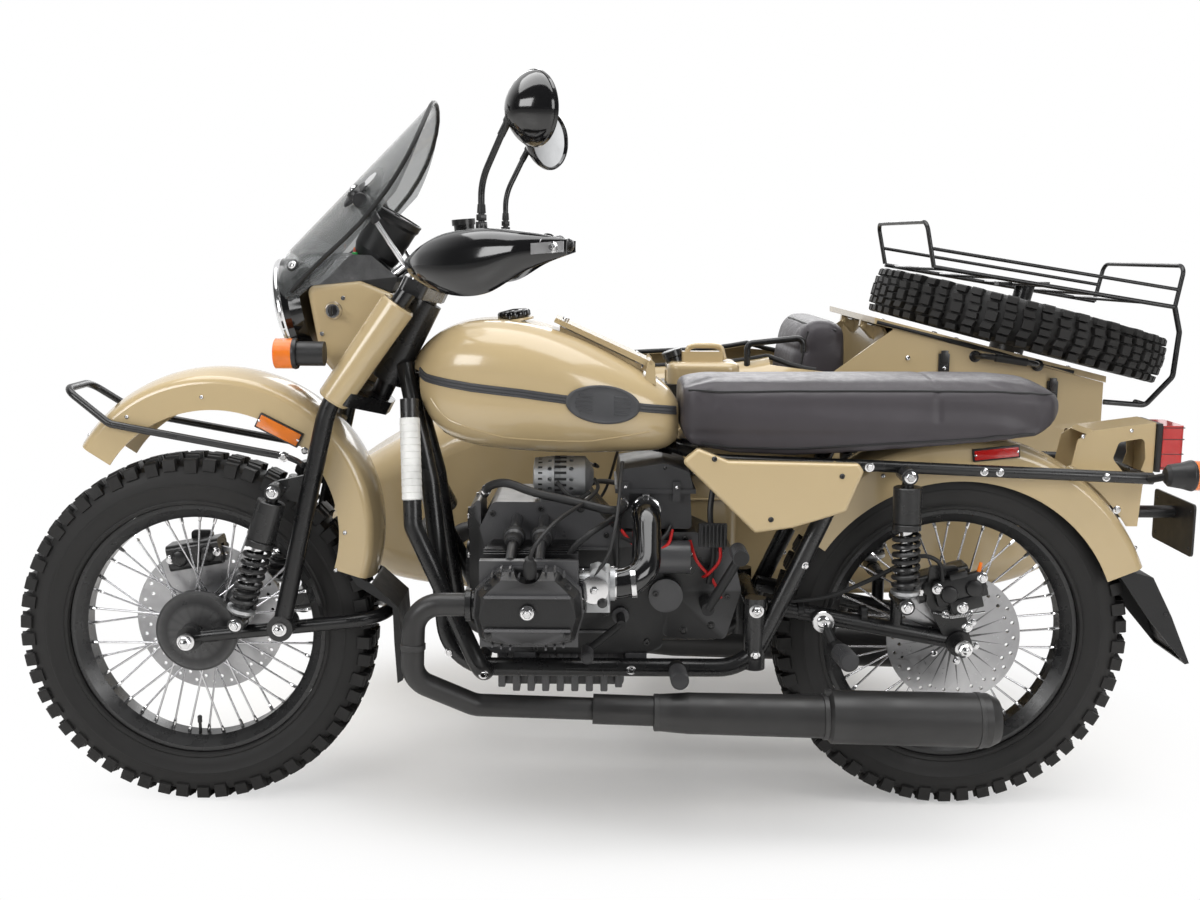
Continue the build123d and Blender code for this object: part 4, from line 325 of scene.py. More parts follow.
def evened(line):
    for _ in range(2):
        inside = [(a + b * 2 + c) / 4 for a, b, c in zip(line, line[1:], line[2:])]
        line = [line[0]] + inside + [line[-1]]
    return line


class Build:
    """Gathers simple solids into one mesh; mi is the index of a solid's material."""

    def __init__(self):
        self.v, self.f, self.m = [], [], []

    def add(self, verts, faces, mi=0):
        n = len(self.v)
        self.v += verts
        self.f += [[i + n for i in f] for f in faces]
        self.m += [mi] * len(faces)

    def bar(self, pts, radii, seg=12, mi=0):
        """Round bar through points, with one radius or one at each point."""
        if not isinstance(radii, (list, tuple)):
            radii = [radii] * len(pts)
        u = square_to((pts[1] - pts[0]).normalized())[0]
        verts = []
        for k, p in enumerate(pts):
            t = (pts[min(len(pts) - 1, k + 1)] - pts[max(0, k - 1)]).normalized()
            u = (u - t * u.dot(t)).normalized()
            verts += oval(p, u, t.cross(u), radii[k], radii[k], seg)
        self.add(verts, tube_faces(len(pts), seg), mi)

    def hose(self, points, radius, seg=8, mi=0, share=0.45, n=8, s=1):
        self.bar(arc_pts(points, share, n, s), radius, seg, mi)

    def turned(self, c, axis, profile, seg=24, mi=0, close=True):
        """Turned piece: profile is (distance along the axis, radius)."""
        t = axis.normalized()
        u, w = square_to(t)
        verts = [p for d, r in profile for p in oval(c + t * (d / 1000), u, w, max(r, 0.01), max(r, 0.01), seg)]
        self.add(verts, tube_faces(len(profile), seg, close), mi)

    def collar(self, c, axis, inner, outer, lip, width, seg, mi=0, close=False):
        """Ring whose two edges fall by a lip."""
        self.turned(c, axis, [(0, inner), (lip, outer), (width - lip, outer), (width, inner)], seg, mi, close)

    def bolt(self, p, axis, r, h, mi=0):
        """Hexagon head on a washer, with the bolt's end."""
        t = axis.normalized() * h / 1000
        self.turned(p, t, [(0, r * 1.5), (h * 0.25, r * 1.5), (h * 0.3, r * 1.4)], 16, mi)
        self.turned(p + t * 0.3, t, [(0, r), (h * 0.8, r), (h, r * 0.86)], 6, mi)
        self.turned(p + t * 1.25, t, [(0, r * 0.55), (h * 0.25, r * 0.5)], 12, mi)

    def box(self, centre, size, mi=0, bevel=0.0, rot=Matrix.Identity(3)):
        bm = bmesh.new()
        bmesh.ops.create_cube(bm, size=1)
        for v in bm.verts:
            v.co = Vector([a * b / 1000 for a, b in zip(v.co, size)])
        bmesh.ops.bevel(bm, geom=bm.edges[:], offset=bevel / 1000, segments=2, affect="EDGES", profile=0.6)
        bm.transform(Matrix.Translation(centre) @ rot.to_4x4())
        bm.verts.index_update()
        self.add([v.co.copy() for v in bm.verts], [[v.index for v in f.verts] for f in bm.faces], mi)
        bm.free()

    def object(self, name, mats, body, angle=35):
        return add_mesh(name, self.v, self.f, mats, body, self.m, angle)


# ------------------------------------------------------------------ knobbly tyres
PITCHES = 54
WALL = (
    (-33, 247.5), (-40, 246.5), (-44.5, 249), (-46, 253.5), (-44.5, 256.5), (-46.2, 258.5), (-49.5, 270),
    (-51.5, 283.5), (-52.2, 284.5), (-52.2, 287.5), (-51.5, 288.5), (-50.5, 300), (-47.5, 312.5), (-42.5, 321.5),
    (-30, 327.5), (-15, 330), (0, 330.8),
)


def tyre(name, centre, turn, body, node):
    """Carcass with ribbed walls, and rows of blocks out to the lugs' tips."""

    def place(a, y, r):
        return centre + turn @ (Vector((r * cos(a), y, r * sin(a))) / 1000)

    def block(a0, a1, y0, y1, r0, r1, skew):
        """Tread block between two angles, two widths and two radii."""
        n = len(verts)
        am, ym = (a0 + a1) / 2, (y0 + y1) / 2
        for r, t in ((r0, 0.0), (r1 - 1.2, 0.084), (r1, 0.12)):
            for a, y in ((a0, y0), (a1, y0), (a1, y1), (a0, y1)):
                verts.append(place(a + (am - a) * t + skew * (y - ym) / 1000, y + (ym - y) * t, r))
        faces.extend([[n + i for i in f] for f in tube_faces(3, 4, False) + [[8, 9, 10, 11]]])

    prof = WALL + tuple((-y, r) for y, r in WALL[-2::-1])
    n, seg = len(prof), 108
    verts = [place(2 * pi * i / seg, y, r) for i in range(seg) for y, r in prof]
    faces = []
    for i in range(seg):
        j = (i + 1) % seg
        for k in range(n):
            m = (k + 1) % n
            faces.append([i * n + k, i * n + m, j * n + m, j * n + k])
    p = 2 * pi / PITCHES
    for i in range(PITCHES):
        a = i * p
        odd = i % 2
        # centre row, two blocks side by side every other pitch
        if odd:
            block(a + 0.10 * p, a + 0.78 * p, -15, -1.5, 328.5, 342.8, 0.3)
            block(a + 0.10 * p, a + 0.78 * p, 1.5, 15, 328.5, 342.8, -0.3)
        else:
            block(a + 0.06 * p, a + 0.74 * p, -11.5, 11.5, 329, 343, 0.0)
        for s in (-1, 1):
            near, far = (18.5, 32.5) if odd else (15, 30)
            block(a + 0.16 * p, a + 0.84 * p, min(s * near, s * far), max(s * near, s * far), 325.5, 341.2, 0.8 * s)
            # shoulder blocks lean outwards and run down the wall
            b0, b1 = (a + 0.22 * p, a + 0.88 * p) if odd else (a + 0.14 * p, a + 0.80 * p)
            tip, low = (51.8, 309) if odd else (50.5, 314)
            rows = ((low, 47, 0.0), (low + 1.5, 51.5, 0.06), (333, tip, 0.1), (336.8, 48.5, 0.12), (337.8, 36.5, 0.12),
                    (320, 34.5, 0.0))
            m = len(verts)
            for r, y, t in rows:
                for e in (b0, b1):
                    verts.append(place(e + ((b0 + b1) / 2 - e) * t, s * y, r))
            for k in range(m, m + 10, 2):
                faces.append([k, k + 1, k + 3, k + 2])
            faces += [list(range(m, m + 12, 2)), list(range(m + 11, m, -2))]
    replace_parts(add_mesh(name, verts, faces, [TYRE], body, angle=30), node)


EYE = Matrix.Identity(3)
SPARE = Matrix.Rotation(radians(-14.0), 3, "Y") @ Matrix.Rotation(radians(90), 3, "X")
FRONT_HUB, REAR_HUB = at(WHEELBASE, 0, TYRE_R), at(0, 0, TYRE_R)
SIDE_HUB, SPARE_HUB = at(LEAD, -TRACK, TYRE_R), at(-303, -640, 904)
tyre("tyre_front", FRONT_HUB, EYE, "front_wheel_set", "front_tyre")
tyre("tyre_rear", REAR_HUB, EYE, "rear_wheel_set", "rear_tyre")
tyre("tyre_side", SIDE_HUB, EYE, "sidecar_wheel_set", "sidecar_tyre")
tyre("tyre_spare", SPARE_HUB, SPARE, "trunk", "spare_tyre")


# ------------------------------------------------------------------ pieces of more than one finish
def repaint(node, mats, pick):
    """A copy of a CAD node whose faces take one of several finishes by where they lie."""
    src = NODES[node]
    me = src.data.copy()
    me.materials.clear()
    for m in mats:
        me.materials.append(m)
    for p in me.polygons:
        p.material_index = pick(*mm(p.center))
    ob = bpy.data.objects.new(node + "_skin", me)
    SC.collection.objects.link(ob)
    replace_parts(ob, node)
    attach(ob, body_of(src)[0])


RIM_IN_R = 246.0 - 0.3 - 27.0
HUB_TOP_R = 52.0
SPOKES = 40
SPOKE_LEAD = 27
DISC_BOLTS_R = 47


def paint_wheel(node, hub, turn, body, disc_y=0, disc_r=0.0, cover=False):
    """Black rim and hub, bright spokes with nipples, steel disc, valve stem."""
    back = turn.inverted()

    def pick(x, y, z):
        p = back @ (at(x, y, z) - hub) * 1000
        r = math.hypot(p.x, p.z)
        if r > RIM_IN_R - 0.4:
            return 0
        if disc_y and abs(p.y - disc_y) < 3.2 and 56 < r <= disc_r + 1:
            return 2
        return 3 if r <= HUB_TOP_R + 0.5 or (cover and p.y > 32) else 1

    def out(x, y, z):
        return hub + turn @ Vector((x, y, z)) / 1000

    repaint(node, [BLACK, STEEL, DISC, HUB], pick)
    b = Build()
    for i in range(SPOKES):
        a = radians(i * 360 / SPOKES)
        e = a + radians(SPOKE_LEAD if i % 4 < 2 else -SPOKE_LEAD)
        y = 31 if i % 2 else -31
        inner = Vector((46 * cos(e), y, 46 * sin(e)))
        outer = Vector(((RIM_IN_R + 2) * cos(a), y / 5, (RIM_IN_R + 2) * sin(a)))
        run = (inner - outer).normalized()
        b.turned(out(*outer), turn @ run, [(0, 3.6), (9, 3.6), (15, 2.9), (16, 2.2)], 8)
        b.turned(out(*(inner - run)), turn @ -run, [(-2, 2), (0, 3.2), (2, 3.4), (4, 2.5)], 8)
    valve = out(14, 2, -RIM_IN_R + 20)
    b.bar([out(14, 0, -RIM_IN_R - 3), valve], 3.2, 8, 1)
    b.turned(valve, turn @ Z, [(0, 4.5), (12, 4.5), (14, 3)], 10, 1)
    b.object(node + "_nipples", [CHROME, BLACK], body)
    if disc_y:
        b = Build()
        s = math.copysign(1, disc_y)
        for i in range(6):
            a = radians(60 * i + 20)
            b.bolt(out(DISC_BOLTS_R * cos(a), disc_y + s * 2.5, DISC_BOLTS_R * sin(a)), turn @ Y * s, 4.5, 4)
        b.object(node + "_disc_bolts", [CHROME], body)


paint_wheel("front_wheel", FRONT_HUB, EYE, "front_wheel_set", -58, 147.5, True)
paint_wheel("rear_wheel", REAR_HUB, EYE, "rear_wheel_set", 58, 128)
paint_wheel("sidecar_wheel", SIDE_HUB, EYE, "sidecar_wheel_set", 58, 122.5)
paint_wheel("spare_wheel", SPARE_HUB, SPARE, "trunk")


# ------------------------------------------------------------------ dampers with wound springs
def helix(b, a, e, radius, wire, turns, mi=0, per=22, seg=8):
    t = (e - a).normalized()
    u = t.cross(Y).normalized()
    w = t.cross(u)
    n = int(turns * per)
    coil = oval(Vector(), u, w, radius, radius, per)
    b.bar([a + (e - a) * (k / n) + coil[k % per] for k in range(n + 1)], wire, seg, mi)


def dampers(name, node, top, low, half, body):
    b = Build()
    for s in SIDES:
        a, e = at(top[0], s * half, top[1]), at(low[0], s * half, low[1])
        t, n = (e - a).normalized(), (e - a).length * 1000
        s0, s1 = 0.42 * n, 0.88 * n
        for p in (a, e):
            b.collar(p - Y * 0.018, Y, 13.8, 15, 1, 36, 28, 0, True)
            b.turned(p - Y * 0.0182, Y, [(0, 8.5), (36.4, 8.5)], 20, 3)
            b.bolt(p + Y * s * 0.0178, Y * s, 7.5, 7, 1)
        for seg, mi, prof in (
            (32, 0, [(10, 10), (20, 11), (20.5, 24.5), (22, 26), (s0 - 16, 26), (s0 - 14, 24.5), (s0 - 12, 26.2),
                     (s0 - 2, 26.2)]),
            (20, 1, [(s0 - 2, 12), (s1 - 30, 12)]),
            (28, 0, [(s1 - 40, 10.5), (s1 - 38, 16), (s1 + 4, 16), (n - 18, 12.5), (n - 10, 10.5)]),
            (32, 2, [(s1 - 1, 15), (s1, 26.8), (s1 + 6, 26.8), (s1 + 12, 19), (s1 + 14, 16)]),
        ):
            b.turned(a, t, prof, seg, mi)
        helix(b, a + t * (s0 + 2) / 1000, a + t * (s1 - 3) / 1000, 22.2, 4.4, 7.5)
    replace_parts(b.object(name, [BLACK, CHROME, ALLOY, RUBBER], body), node)


dampers("front_dampers", "front_shocks", (1277, 634), (1353, 384), 128, "steering")
dampers("rear_dampers", "rear_shocks", (121, 673), (117, 431), 150, "chassis")

# ------------------------------------------------------------------ fasteners set on the surface they hold
TREES = {}


def tree_of(me):
    return BVHTree.FromPolygons([v.co for v in me.vertices], [list(p.vertices) for p in me.polygons])


def snap(node, x, y, z, way, reach=0.08):
    """Where a line along way, coming in from outside, meets the node; and the surface's direction there."""
    if node not in TREES:
        TREES[node] = tree_of(NODES[node].data)
    way = Vector(way).normalized()
    p = at(x, y, z)
    q, nrm, _, _ = TREES[node].ray_cast(p + way * reach, -way, reach * 2.5)
    if q is None:
        q, nrm, _, _ = TREES[node].find_nearest(p)
    return q, -nrm if nrm.dot(way) < 0 else nrm


# turned heads: sides, and (distance, radius) in shares of the head's radius
HEADS = {
    "dome": (16, ((0, 1), (0.25, 1), (0.55, 0.8), (0.7, 0.45), (0.55, 0.42), (0.5, 0.1))),
    "socket": (16, ((0, 1), (0.9, 1), (1, 0.9), (1, 0.5), (0.5, 0.48), (0.5, 0))),
    "nut": (20, ((0, 1.5), (0.25, 1.5), (0.3, 1.3))),
}


def fasten(name, rows, finishes, body="chassis"):
    """Rows of (node, kind of head, its radius, finish, way, places) built as one piece.

    A way is a direction, or a letter: N for the near side, F for the far side, B for both with the places' y turned."""
    b = Build()
    for node, kind, r, mi, way, places in rows:
        spots = []
        for x, y, z in places:
            if way == "B":
                spots += [(x, y, z, Y), (x, -y, z, -Y)]
            else:
                spots.append((x, y, z, {"N": Y, "F": -Y}.get(way) or Vector(way).normalized()))
        for x, y, z, w in spots:
            q, t = snap(node, x, y, z, w)
            if t.dot(w) <= 0.8:
                t = w
            q = q - t * 0.0004
            if kind == "hex":
                b.bolt(q, t, r, r * 0.7, mi)
                continue
            seg, prof = HEADS[kind]
            b.turned(q, t, [(d * r, share * r) for d, share in prof], seg, mi)
            if kind == "nut":
                b.turned(q + t * r * 0.0003, t, [(0, r * 1.05), (r * 0.8, r * 1.05), (r * 0.95, r * 0.85)], 6, mi)
                b.turned(q + t * r * 0.0012, t, [(0, r * 0.55), (r * 0.5, r * 0.55), (r * 0.6, r * 0.4)], 12, mi)
    b.object(name, finishes, body)


# ------------------------------------------------------------------ cushions
def bench_ring(x, half, low, top, crown, corner):
    """Cross-section at x: flat base, rounded shoulders, crowned top."""
    turns = [pi / 2 * k / 7 for k in range(8)]
    pts = [(half - corner + corner * cos(a), top - corner + corner * sin(a)) for a in turns]
    left = [(-y, z) for y, z in pts[::-1]]
    pts += [((half - corner) * (1 - k / 4), top + crown * (1 - (k / 4 - 1) ** 2)) for k in range(1, 8)]
    pts += left + [(-half + 4, low), (-half * 0.33, low), (half * 0.33, low), (half - 4, low)]
    return [at(x, y, z) for y, z in pts]


def slab(z, x0, x1, half, corner, bulge=0.0):
    """Rounded rectangle of the sidecar's seat at height z."""
    cx, hx = (x0 + x1) / 2, (x1 - x0) / 2 - corner
    hy = half - corner
    pts = []
    for qx, qy, a0 in ((1, 1, 0), (-1, 1, 90), (-1, -1, 180), (1, -1, 270)):
        for k in range(7):
            a = radians(a0 + 15 * k)
            pts.append((cx + qx * hx + corner * cos(a), qy * hy + corner * sin(a)))
        # points along the straight run that follows
        for k in range(1, 8):
            t = 1 - k / 4
            if qx * qy > 0:
                pts.append((cx + hx * qx * t, qy * half))
            else:
                edge = hx + corner + (bulge * (1 - t * t) if qx > 0 else 0)
                pts.append((cx + qx * edge, qy * hy * t))
    return [at(x, SIDECAR_Y + y, z) for x, y in pts]


def evaluated(ob):
    """The object's mesh with its modifiers, which are then removed."""
    me = bpy.data.meshes.new_from_object(ob.evaluated_get(bpy.context.evaluated_depsgraph_get()))
    ob.modifiers.clear()
    return me


FRAMES = 20


def cushion(name, rings, voxel, most, pinned, seams):
    """Closed form through rings, blown up by cloth simulation with its base held, then seamed."""
    ob = add_mesh(name, [p for r in rings for p in r], tube_faces(len(rings), len(rings[0])), [VINYL], None)
    bpy.context.view_layer.objects.active = ob
    ob.select_set(True)
    md = ob.modifiers.new("voxels", "REMESH")
    md.mode = "VOXEL"
    md.voxel_size = voxel
    ob.data = me = evaluated(ob)
    me.materials.clear()
    me.materials.append(VINYL)
    rest = [v.co.copy() for v in me.vertices]
    group = ob.vertex_groups.new(name="base")
    group.add([v.index for v in me.vertices if pinned(*mm(v.co))], 1.0, "REPLACE")
    cl = ob.modifiers.new("cloth", "CLOTH")
    st = cl.settings
    st.quality = 4
    st.mass = 0.3
    st.tension_stiffness = st.compression_stiffness = 15
    st.bending_stiffness = 0.6
    st.use_pressure = True
    st.uniform_pressure_force = 4.0
    st.effector_weights.gravity = 0
    st.vertex_group_mass = "base"
    cl.collision_settings.use_self_collision = False
    cl.point_cache.frame_start, cl.point_cache.frame_end = 1, FRAMES
    for f in range(1, FRAMES + 1):
        SC.frame_set(f)
    far = [v.co.copy() for v in evaluated(ob).vertices]
    for v, a, b in zip(me.vertices, rest, far):
        d = b - a
        v.co = a + (d.normalized() * most if d.length > most else d)
    SC.frame_set(1)
    ob.vertex_groups.clear()
    # even out what the voxels left
    bm = bmesh.new()
    bm.from_mesh(me)
    for _ in range(4):
        bmesh.ops.smooth_vert(bm, verts=bm.verts, factor=0.5, use_axis_x=True, use_axis_y=True, use_axis_z=True)
    bm.to_mesh(me)
    bm.free()
    smooth(me)
    for v in me.vertices:
        d = seams(*mm(v.co), v.normal)
        if d:
            v.co = v.co + v.normal * d
    me.update()
    md = ob.modifiers.new("sub", "SUBSURF")
    md.levels = md.render_levels = 1
    ob.data = evaluated(ob)
    smooth(ob.data)
    return ob


def groove(d):
    """Depth share of a stitched groove at d millimetres from its middle."""
    return math.exp(-(d / 5) ** 2)


def seat_on(ob, node):
    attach(ob, "chassis")
    if node:
        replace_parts(ob, node)


def welt(name, ob, pts, radius, lift):
    """Piping laid on a cover along a route."""
    tree = tree_of(ob.data)
    line = []
    for p in pts:
        q, nrm, _, _ = tree.find_nearest(p)
        line.append(q + nrm * lift)
    b = Build()
    b.bar(evened(line), radius, 8)
    b.object(name, [PIPING], "chassis")


# rows of x, half width, base, top, crown and corner
SEAT_RINGS = (
    (530, 96, 742, 826, 8, 26), (515, 112, 722, 831, 8, 26), (440, 124, 708, 829, 9, 28), (330, 130, 704, 830, 9, 28),
    (200, 131, 712, 831, 9, 28), (60, 131, 723, 832, 9, 28), (-60, 129, 734, 832, 9, 28), (-120, 124, 742, 828, 8, 30),
    (-156, 112, 760, 820, 5, 26), (-172, 92, 776, 808, 2, 14),
)
SEAM_X = 64.0


def bench_seams(x, y, z, n):
    d = -0.0028 * groove(x - SEAM_X) if z > 770 else 0.0
    if abs(n.z) < 0.75 and z < 800:
        d -= 0.0016 * groove(z - 742 - max(0, -x - 60) * 0.25)
    return d


bench = cushion("seat_cover", [bench_ring(*r) for r in SEAT_RINGS], 0.0055, 0.006,
                lambda x, y, z: z < 748 or x > 526, bench_seams)
# the base stays off the mudguard
CLEAR_R = 394
for v in bench.data.vertices:
    x, y, z = mm(v.co)
    r = math.hypot(x, z - TYRE_R)
    if abs(y) < 78 and r < CLEAR_R:
        v.co = at(x * CLEAR_R / r, y, TYRE_R + (z - TYRE_R) * CLEAR_R / r)
seat_on(bench, "seat")
for s, tag in ((1, "left"), (-1, "right")):
    route = [at(524 - i * 8.6, s * (118 if i > 3 else 104 + i * 3.5), 828) for i in range(76)]
    route += [at(-134 - i * 6, s * (114 - i * 9), 822 - i * 3) for i in range(6)]
    welt("seat_piping_" + tag, bench, route, 2.4, 0.0004)
    low = [at(x, s * 140, 716 + max(0, 330 - x) * 0.062) for x in range(500, -130, -9)]
    welt("seat_hem_" + tag, bench, low, 2.2, 0.0004)

# rows of z, x from and to, half width, corner
BASE_RINGS = (
    (298, 226, 634, 184, 16), (310, 226, 637, 188, 18), (430, 226, 637, 188, 22), (446, 226, 634, 186, 26),
    (459, 232, 622, 178, 34), (466, 250, 600, 160, 40),
)
BACK_RINGS = (
    (298, 118, 216, 190, 18), (320, 118, 217, 194, 20), (452, 118, 217, 195, 20), (470, 120, 286, 195, 22),
    (560, 120, 272, 195, 22), (700, 120, 249, 195, 22), (840, 120, 226, 195, 24), (896, 122, 216, 192, 26),
    (915, 134, 206, 184, 26), (925, 150, 192, 166, 18),
)
base = cushion("sidecar_cushion", [slab(*r) for r in BASE_RINGS], 0.0075, 0.012, lambda x, y, z: z < 400,
               lambda x, y, z, n: -0.004 * max(groove(x - c) for c in (330, 430, 530)) if n.z > 0.5 else 0.0)
seat_on(base, None)
back = cushion("sidecar_back", [slab(*r, 6 if r[0] > 460 else 0) for r in BACK_RINGS], 0.0075, 0.008,
               lambda x, y, z: z < 480 or x < 124,
               lambda x, y, z, n: (-0.004 * max(groove(z - c) for c in (560, 660, 760, 850))
                                   if n.x > 0.4 and z > 470 else 0.0))
seat_on(back, "sidecar_seat")
loop = [(138, -190, 900), (175, -195, 905)] + [(212, -176 + k * 25.1, 916) for k in range(15)]
loop += [(175, 195, 905), (138, 190, 900)]
welt("back_piping_front", back, [at(x, SIDECAR_Y + y, z) for x, y, z in loop], 3, 0.0006)
for s, tag in ((1, "near"), (-1, "far")):
    run = [at(216 + (905 - z) * 0.166, SIDECAR_Y + s * 192, z) for z in range(900, 470, -24)]
    welt("back_piping_" + tag, back, run, 3, 0.0006)
    welt("base_piping_" + tag, base, [at(x, SIDECAR_Y + s * 186, 462) for x in range(250, 630, 20)], 3, 0.0006)


# ------------------------------------------------------------------ screen, lamp, dials and bars
FOOT = at(1262, 0, 1072)
SLOPE = Vector((-1, 0, 1)).normalized()
FACE = Vector((1, 0, 1)).normalized()


def on_screen(u, v, proud=0.0):
    """Point of the screen's outer skin, u across and v up its slope, in mm."""
    rr = 104 + 131 * (v + 62) / 455
    rise = math.sqrt(rr * rr - u * u)
    q = FOOT + SLOPE * (v / 1000) + Y * (u / 1000) - FACE * ((rr - rise) / 1000)
    out = (FACE * rise + Y * u).normalized()
    return q + out * (proud / 1000), out


EDGE = ((0, 383), (28, 381), (55, 374), (82, 361), (104, 342), (122, 316), (134, 286), (140, 254), (142, 220),
        (140, 182), (136, 142), (128, 98), (118, 50), (109, 4), (101, -40))
trim = [on_screen(u, v, -2)[0] for u, v in EDGE]
trim = [Vector((p.x, 2 * OY / 1000 - p.y, p.z)) for p in trim[:0:-1]] + trim
b = Build()
b.bar(trim, 4.2, 8)
b.object("screen_edge", [RUBBER], "steering")
b = Build()
for s in SIDES:
    for u, v in ((84, -6), (70, 168)):
        q, n = on_screen(s * u, v)
        b.turned(q - n * 0.001, n, [(0, 12), (1.5, 12), (2, 10.5)], 20, 1)
        b.turned(q + n * 0.001, n, [(0, 8.5), (2, 8), (4, 6), (5, 3)], 16, 0)
    # small oval plate by the strut's pad
    q, n = on_screen(s * 100, 205)
    plate = oval(q + n * 0.0006, SLOPE, n.cross(SLOPE).normalized(), 17, 9, 24)
    b.add(plate + [p + n * 0.0012 for p in plate], tube_faces(2, 24))
b.object("screen_fixings", [CHROME, RUBBER], "steering")

DIAL = at(1112, 0, 1050)
TILTED = Vector((-0.5, 0, cos(radians(30))))


def dash_pick(x, y, z):
    p = at(x, y, z) - DIAL
    r = (p - TILTED * p.dot(TILTED)).length * 1000
    if r > 52 and z > 1026 and abs(y) > 50:
        return 0 if abs(y) < 88 and z < 1170 else 1
    return 2


repaint("dash", [CHROME, PLASTIC, PLASTIC], dash_pick)
# dial: face, ticks and hand, with warning lamps below
way = TILTED.normalized()
up = way.cross(Y).normalized()
if up.z < 0:
    up = -up


def dial_at(turn):
    """Direction of a reading on the dial, and the direction square to it."""
    a = radians(turn)
    return up * cos(a) + Y * sin(a), up * -sin(a) + Y * cos(a)


b = Build()
b.turned(DIAL + way * 0.0965, way, [(0, 44.5), (1.2, 44.5), (1.4, 44)], 48, 0)
for k in range(41):
    d, sd = dial_at(-130 + k * 6.5)
    start, w = (0.034, 0.0008) if k % 5 == 0 else (0.038, 0.0004)
    c = DIAL + way * 0.0982
    b.add([c + d * start - sd * w, c + d * 0.042 - sd * w, c + d * 0.042 + sd * w, c + d * start + sd * w],
          [[0, 1, 2, 3]], 1)
# the hand takes the red lens finish, whose faint emission makes it glow though it is no lamp: painted light
d, sd = dial_at(-130)
c = DIAL + way * 0.0994
b.add([c + d * 0.037, c + sd * 0.0016, c - d * 0.008, c - sd * 0.0016], [[0, 1, 2, 3]], 2)
b.turned(DIAL + way * 0.0984, way, [(0, 5), (2, 5), (2.6, 3)], 16, 0)
b.turned(DIAL + way * 0.0965, way, [(0, 50.5), (2.5, 50.8), (4.5, 49), (4.5, 46.2), (1, 45.5)], 48, 3, False)
for k, mi in ((-2, 4), (-1, 5), (0, 4), (1, 2), (2, 5)):
    q, n = snap("dash", 1140, k * 14, 1066, (0.5, 0, 0.87))
    b.turned(q - n * 0.001, n, [(0, 5.5), (4, 5.5), (4.5, 4.5), (5.2, 2)], 14, mi)
b.object("gauge_face", [moulded("dial_black", (0.01, 0.01, 0.011), 0.4), moulded("dial_white", (0.75, 0.75, 0.72), 0.5),
                        RED, PLASTIC, AMBER, lens("green_lens", (0.05, 0.5, 0.12), 0.1)], "steering")

LAMP_TILT = math.atan2(22, 128)
LAMP_AT = at(1196 + 96 * tan(LAMP_TILT), 0, 974)
LAMP_WAY = Vector((cos(LAMP_TILT), 0, -sin(LAMP_TILT)))


def lamp_pick(x, y, z):
    p = at(x, y, z) - LAMP_AT
    d = p.dot(LAMP_WAY) * 1000
    r = (p - LAMP_WAY * p.dot(LAMP_WAY)).length * 1000
    return 1 if d > 49 or (d > 24 and r < 79) else 0


repaint("headlight", [GLOSSB, CHROME], lamp_pick)
b = Build()
b.turned(LAMP_AT, LAMP_WAY, [(24, 14), (26, 30), (36, 58), (52, 80)], 48, 0, False)
b.turned(LAMP_AT, LAMP_WAY, [(24, 12), (44, 11.5), (52, 9), (56, 4)], 20, 1)
b.turned(LAMP_AT, LAMP_WAY, [(54, 89.5), (57.5, 91.2), (61.5, 89.5), (62, 86.8), (58, 86.2)], 64, 2, False)
# fine guard mesh in front of the reflector
for k in range(-7, 8):
    half = math.sqrt(0.083 ** 2 - (k * 0.011) ** 2)
    for u, w in ((Y, LAMP_WAY.cross(Y)), (LAMP_WAY.cross(Y), Y)):
        c = LAMP_AT + LAMP_WAY * 0.0585 + u * k * 0.011
        b.bar([c - w * half, c, c + w * half], 0.6, 4, 2)
b.object("lamp_inside", [plated("reflector", (0.9, 0.9, 0.9), 0.05), CLEAR, CHROME], "steering")

# indicators: black stem and shell, amber lens
repaint("front_indicators", [PLASTIC, AMBER], lambda x, y, z: 1 if x > 1227 else 0)
b = Build()
for s in SIDES:
    for r, h in ((26.5, 0), (19, 1.2), (11, 1.8)):
        b.turned(at(1262 + h, s * 148, 888), X, [(0, r), (1.2, r - 1), (1.2, r - 4)], 32, 0)
    b.turned(at(1225, s * 148, 888), X, [(-2, 27.2), (2, 28.2), (6, 27.2)], 36, 1, False)
b.object("front_lens_rings", [AMBER, PLASTIC], "steering")

# mirrors: bent stems, domed shells turned to the rider, glass and rim
MIRROR_SHELL = ((-4, 2), (-3, 10), (0, 19), (5, 28), (12, 37.5), (20, 46.5), (28, 53.5), (35, 58), (40, 60), (46, 60.8),
                (50.5, 60), (51.5, 58.5), (50.5, 56.5), (46.5, 56))
b = Build()
for s in SIDES:
    look = Vector((-cos(radians(37)), -s * sin(radians(37)), 0.03)).normalized()
    mid = at(800, s * 332, 1300)
    c = mid - look * 0.034
    b.turned(c, look, MIRROR_SHELL, 56, 0, False)
    b.turned(c, look, [(41.5, 59.5), (42.5, 61.8), (47, 61.8), (48, 60)], 56, 0, False)
    b.turned(c, look, [(45.5, 56.2), (46.8, 56.2), (47.2, 54)], 56, 1)
    b.hose([(880, 300, 1092), (880, 300, 1186), (838, 324, 1274), mid - look * 0.028], 5.6, 16, 2, 0.28, 7, s)
    neck = arc_pts([(846, 320, 1258), (832, 327, 1284), mid - look * 0.026], 0.3, 5, s)
    b.bar(neck, [6.6] * 2 + [8.5] * (len(neck) - 4) + [11, 14], 16, 2)
    foot = at(880, s * 300, 1094)
    b.turned(foot, Z, [(0, 12), (2, 13.5), (12, 13.5), (14, 10), (22, 9.5)], 24, 2)
    b.collar(foot + Z * 0.014, Z, 9.8, 10.5, 1, 12, 6, 2, True)
    b.collar(foot + Z * 0.028, Z, 8.8, 9.5, 1, 10, 6, 2, True)
    b.turned(foot + Z * 0.040, Z, [(0, 7.5), (14, 6.6), (15, 5.8)], 16, 3)
mirror_mats = [GLOSSB, plated("mirror_glass", (0.85, 0.86, 0.87), 0.02), BLACK, RUBBER]
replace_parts(b.object("mirror_pair", mirror_mats, "steering"), "mirrors")

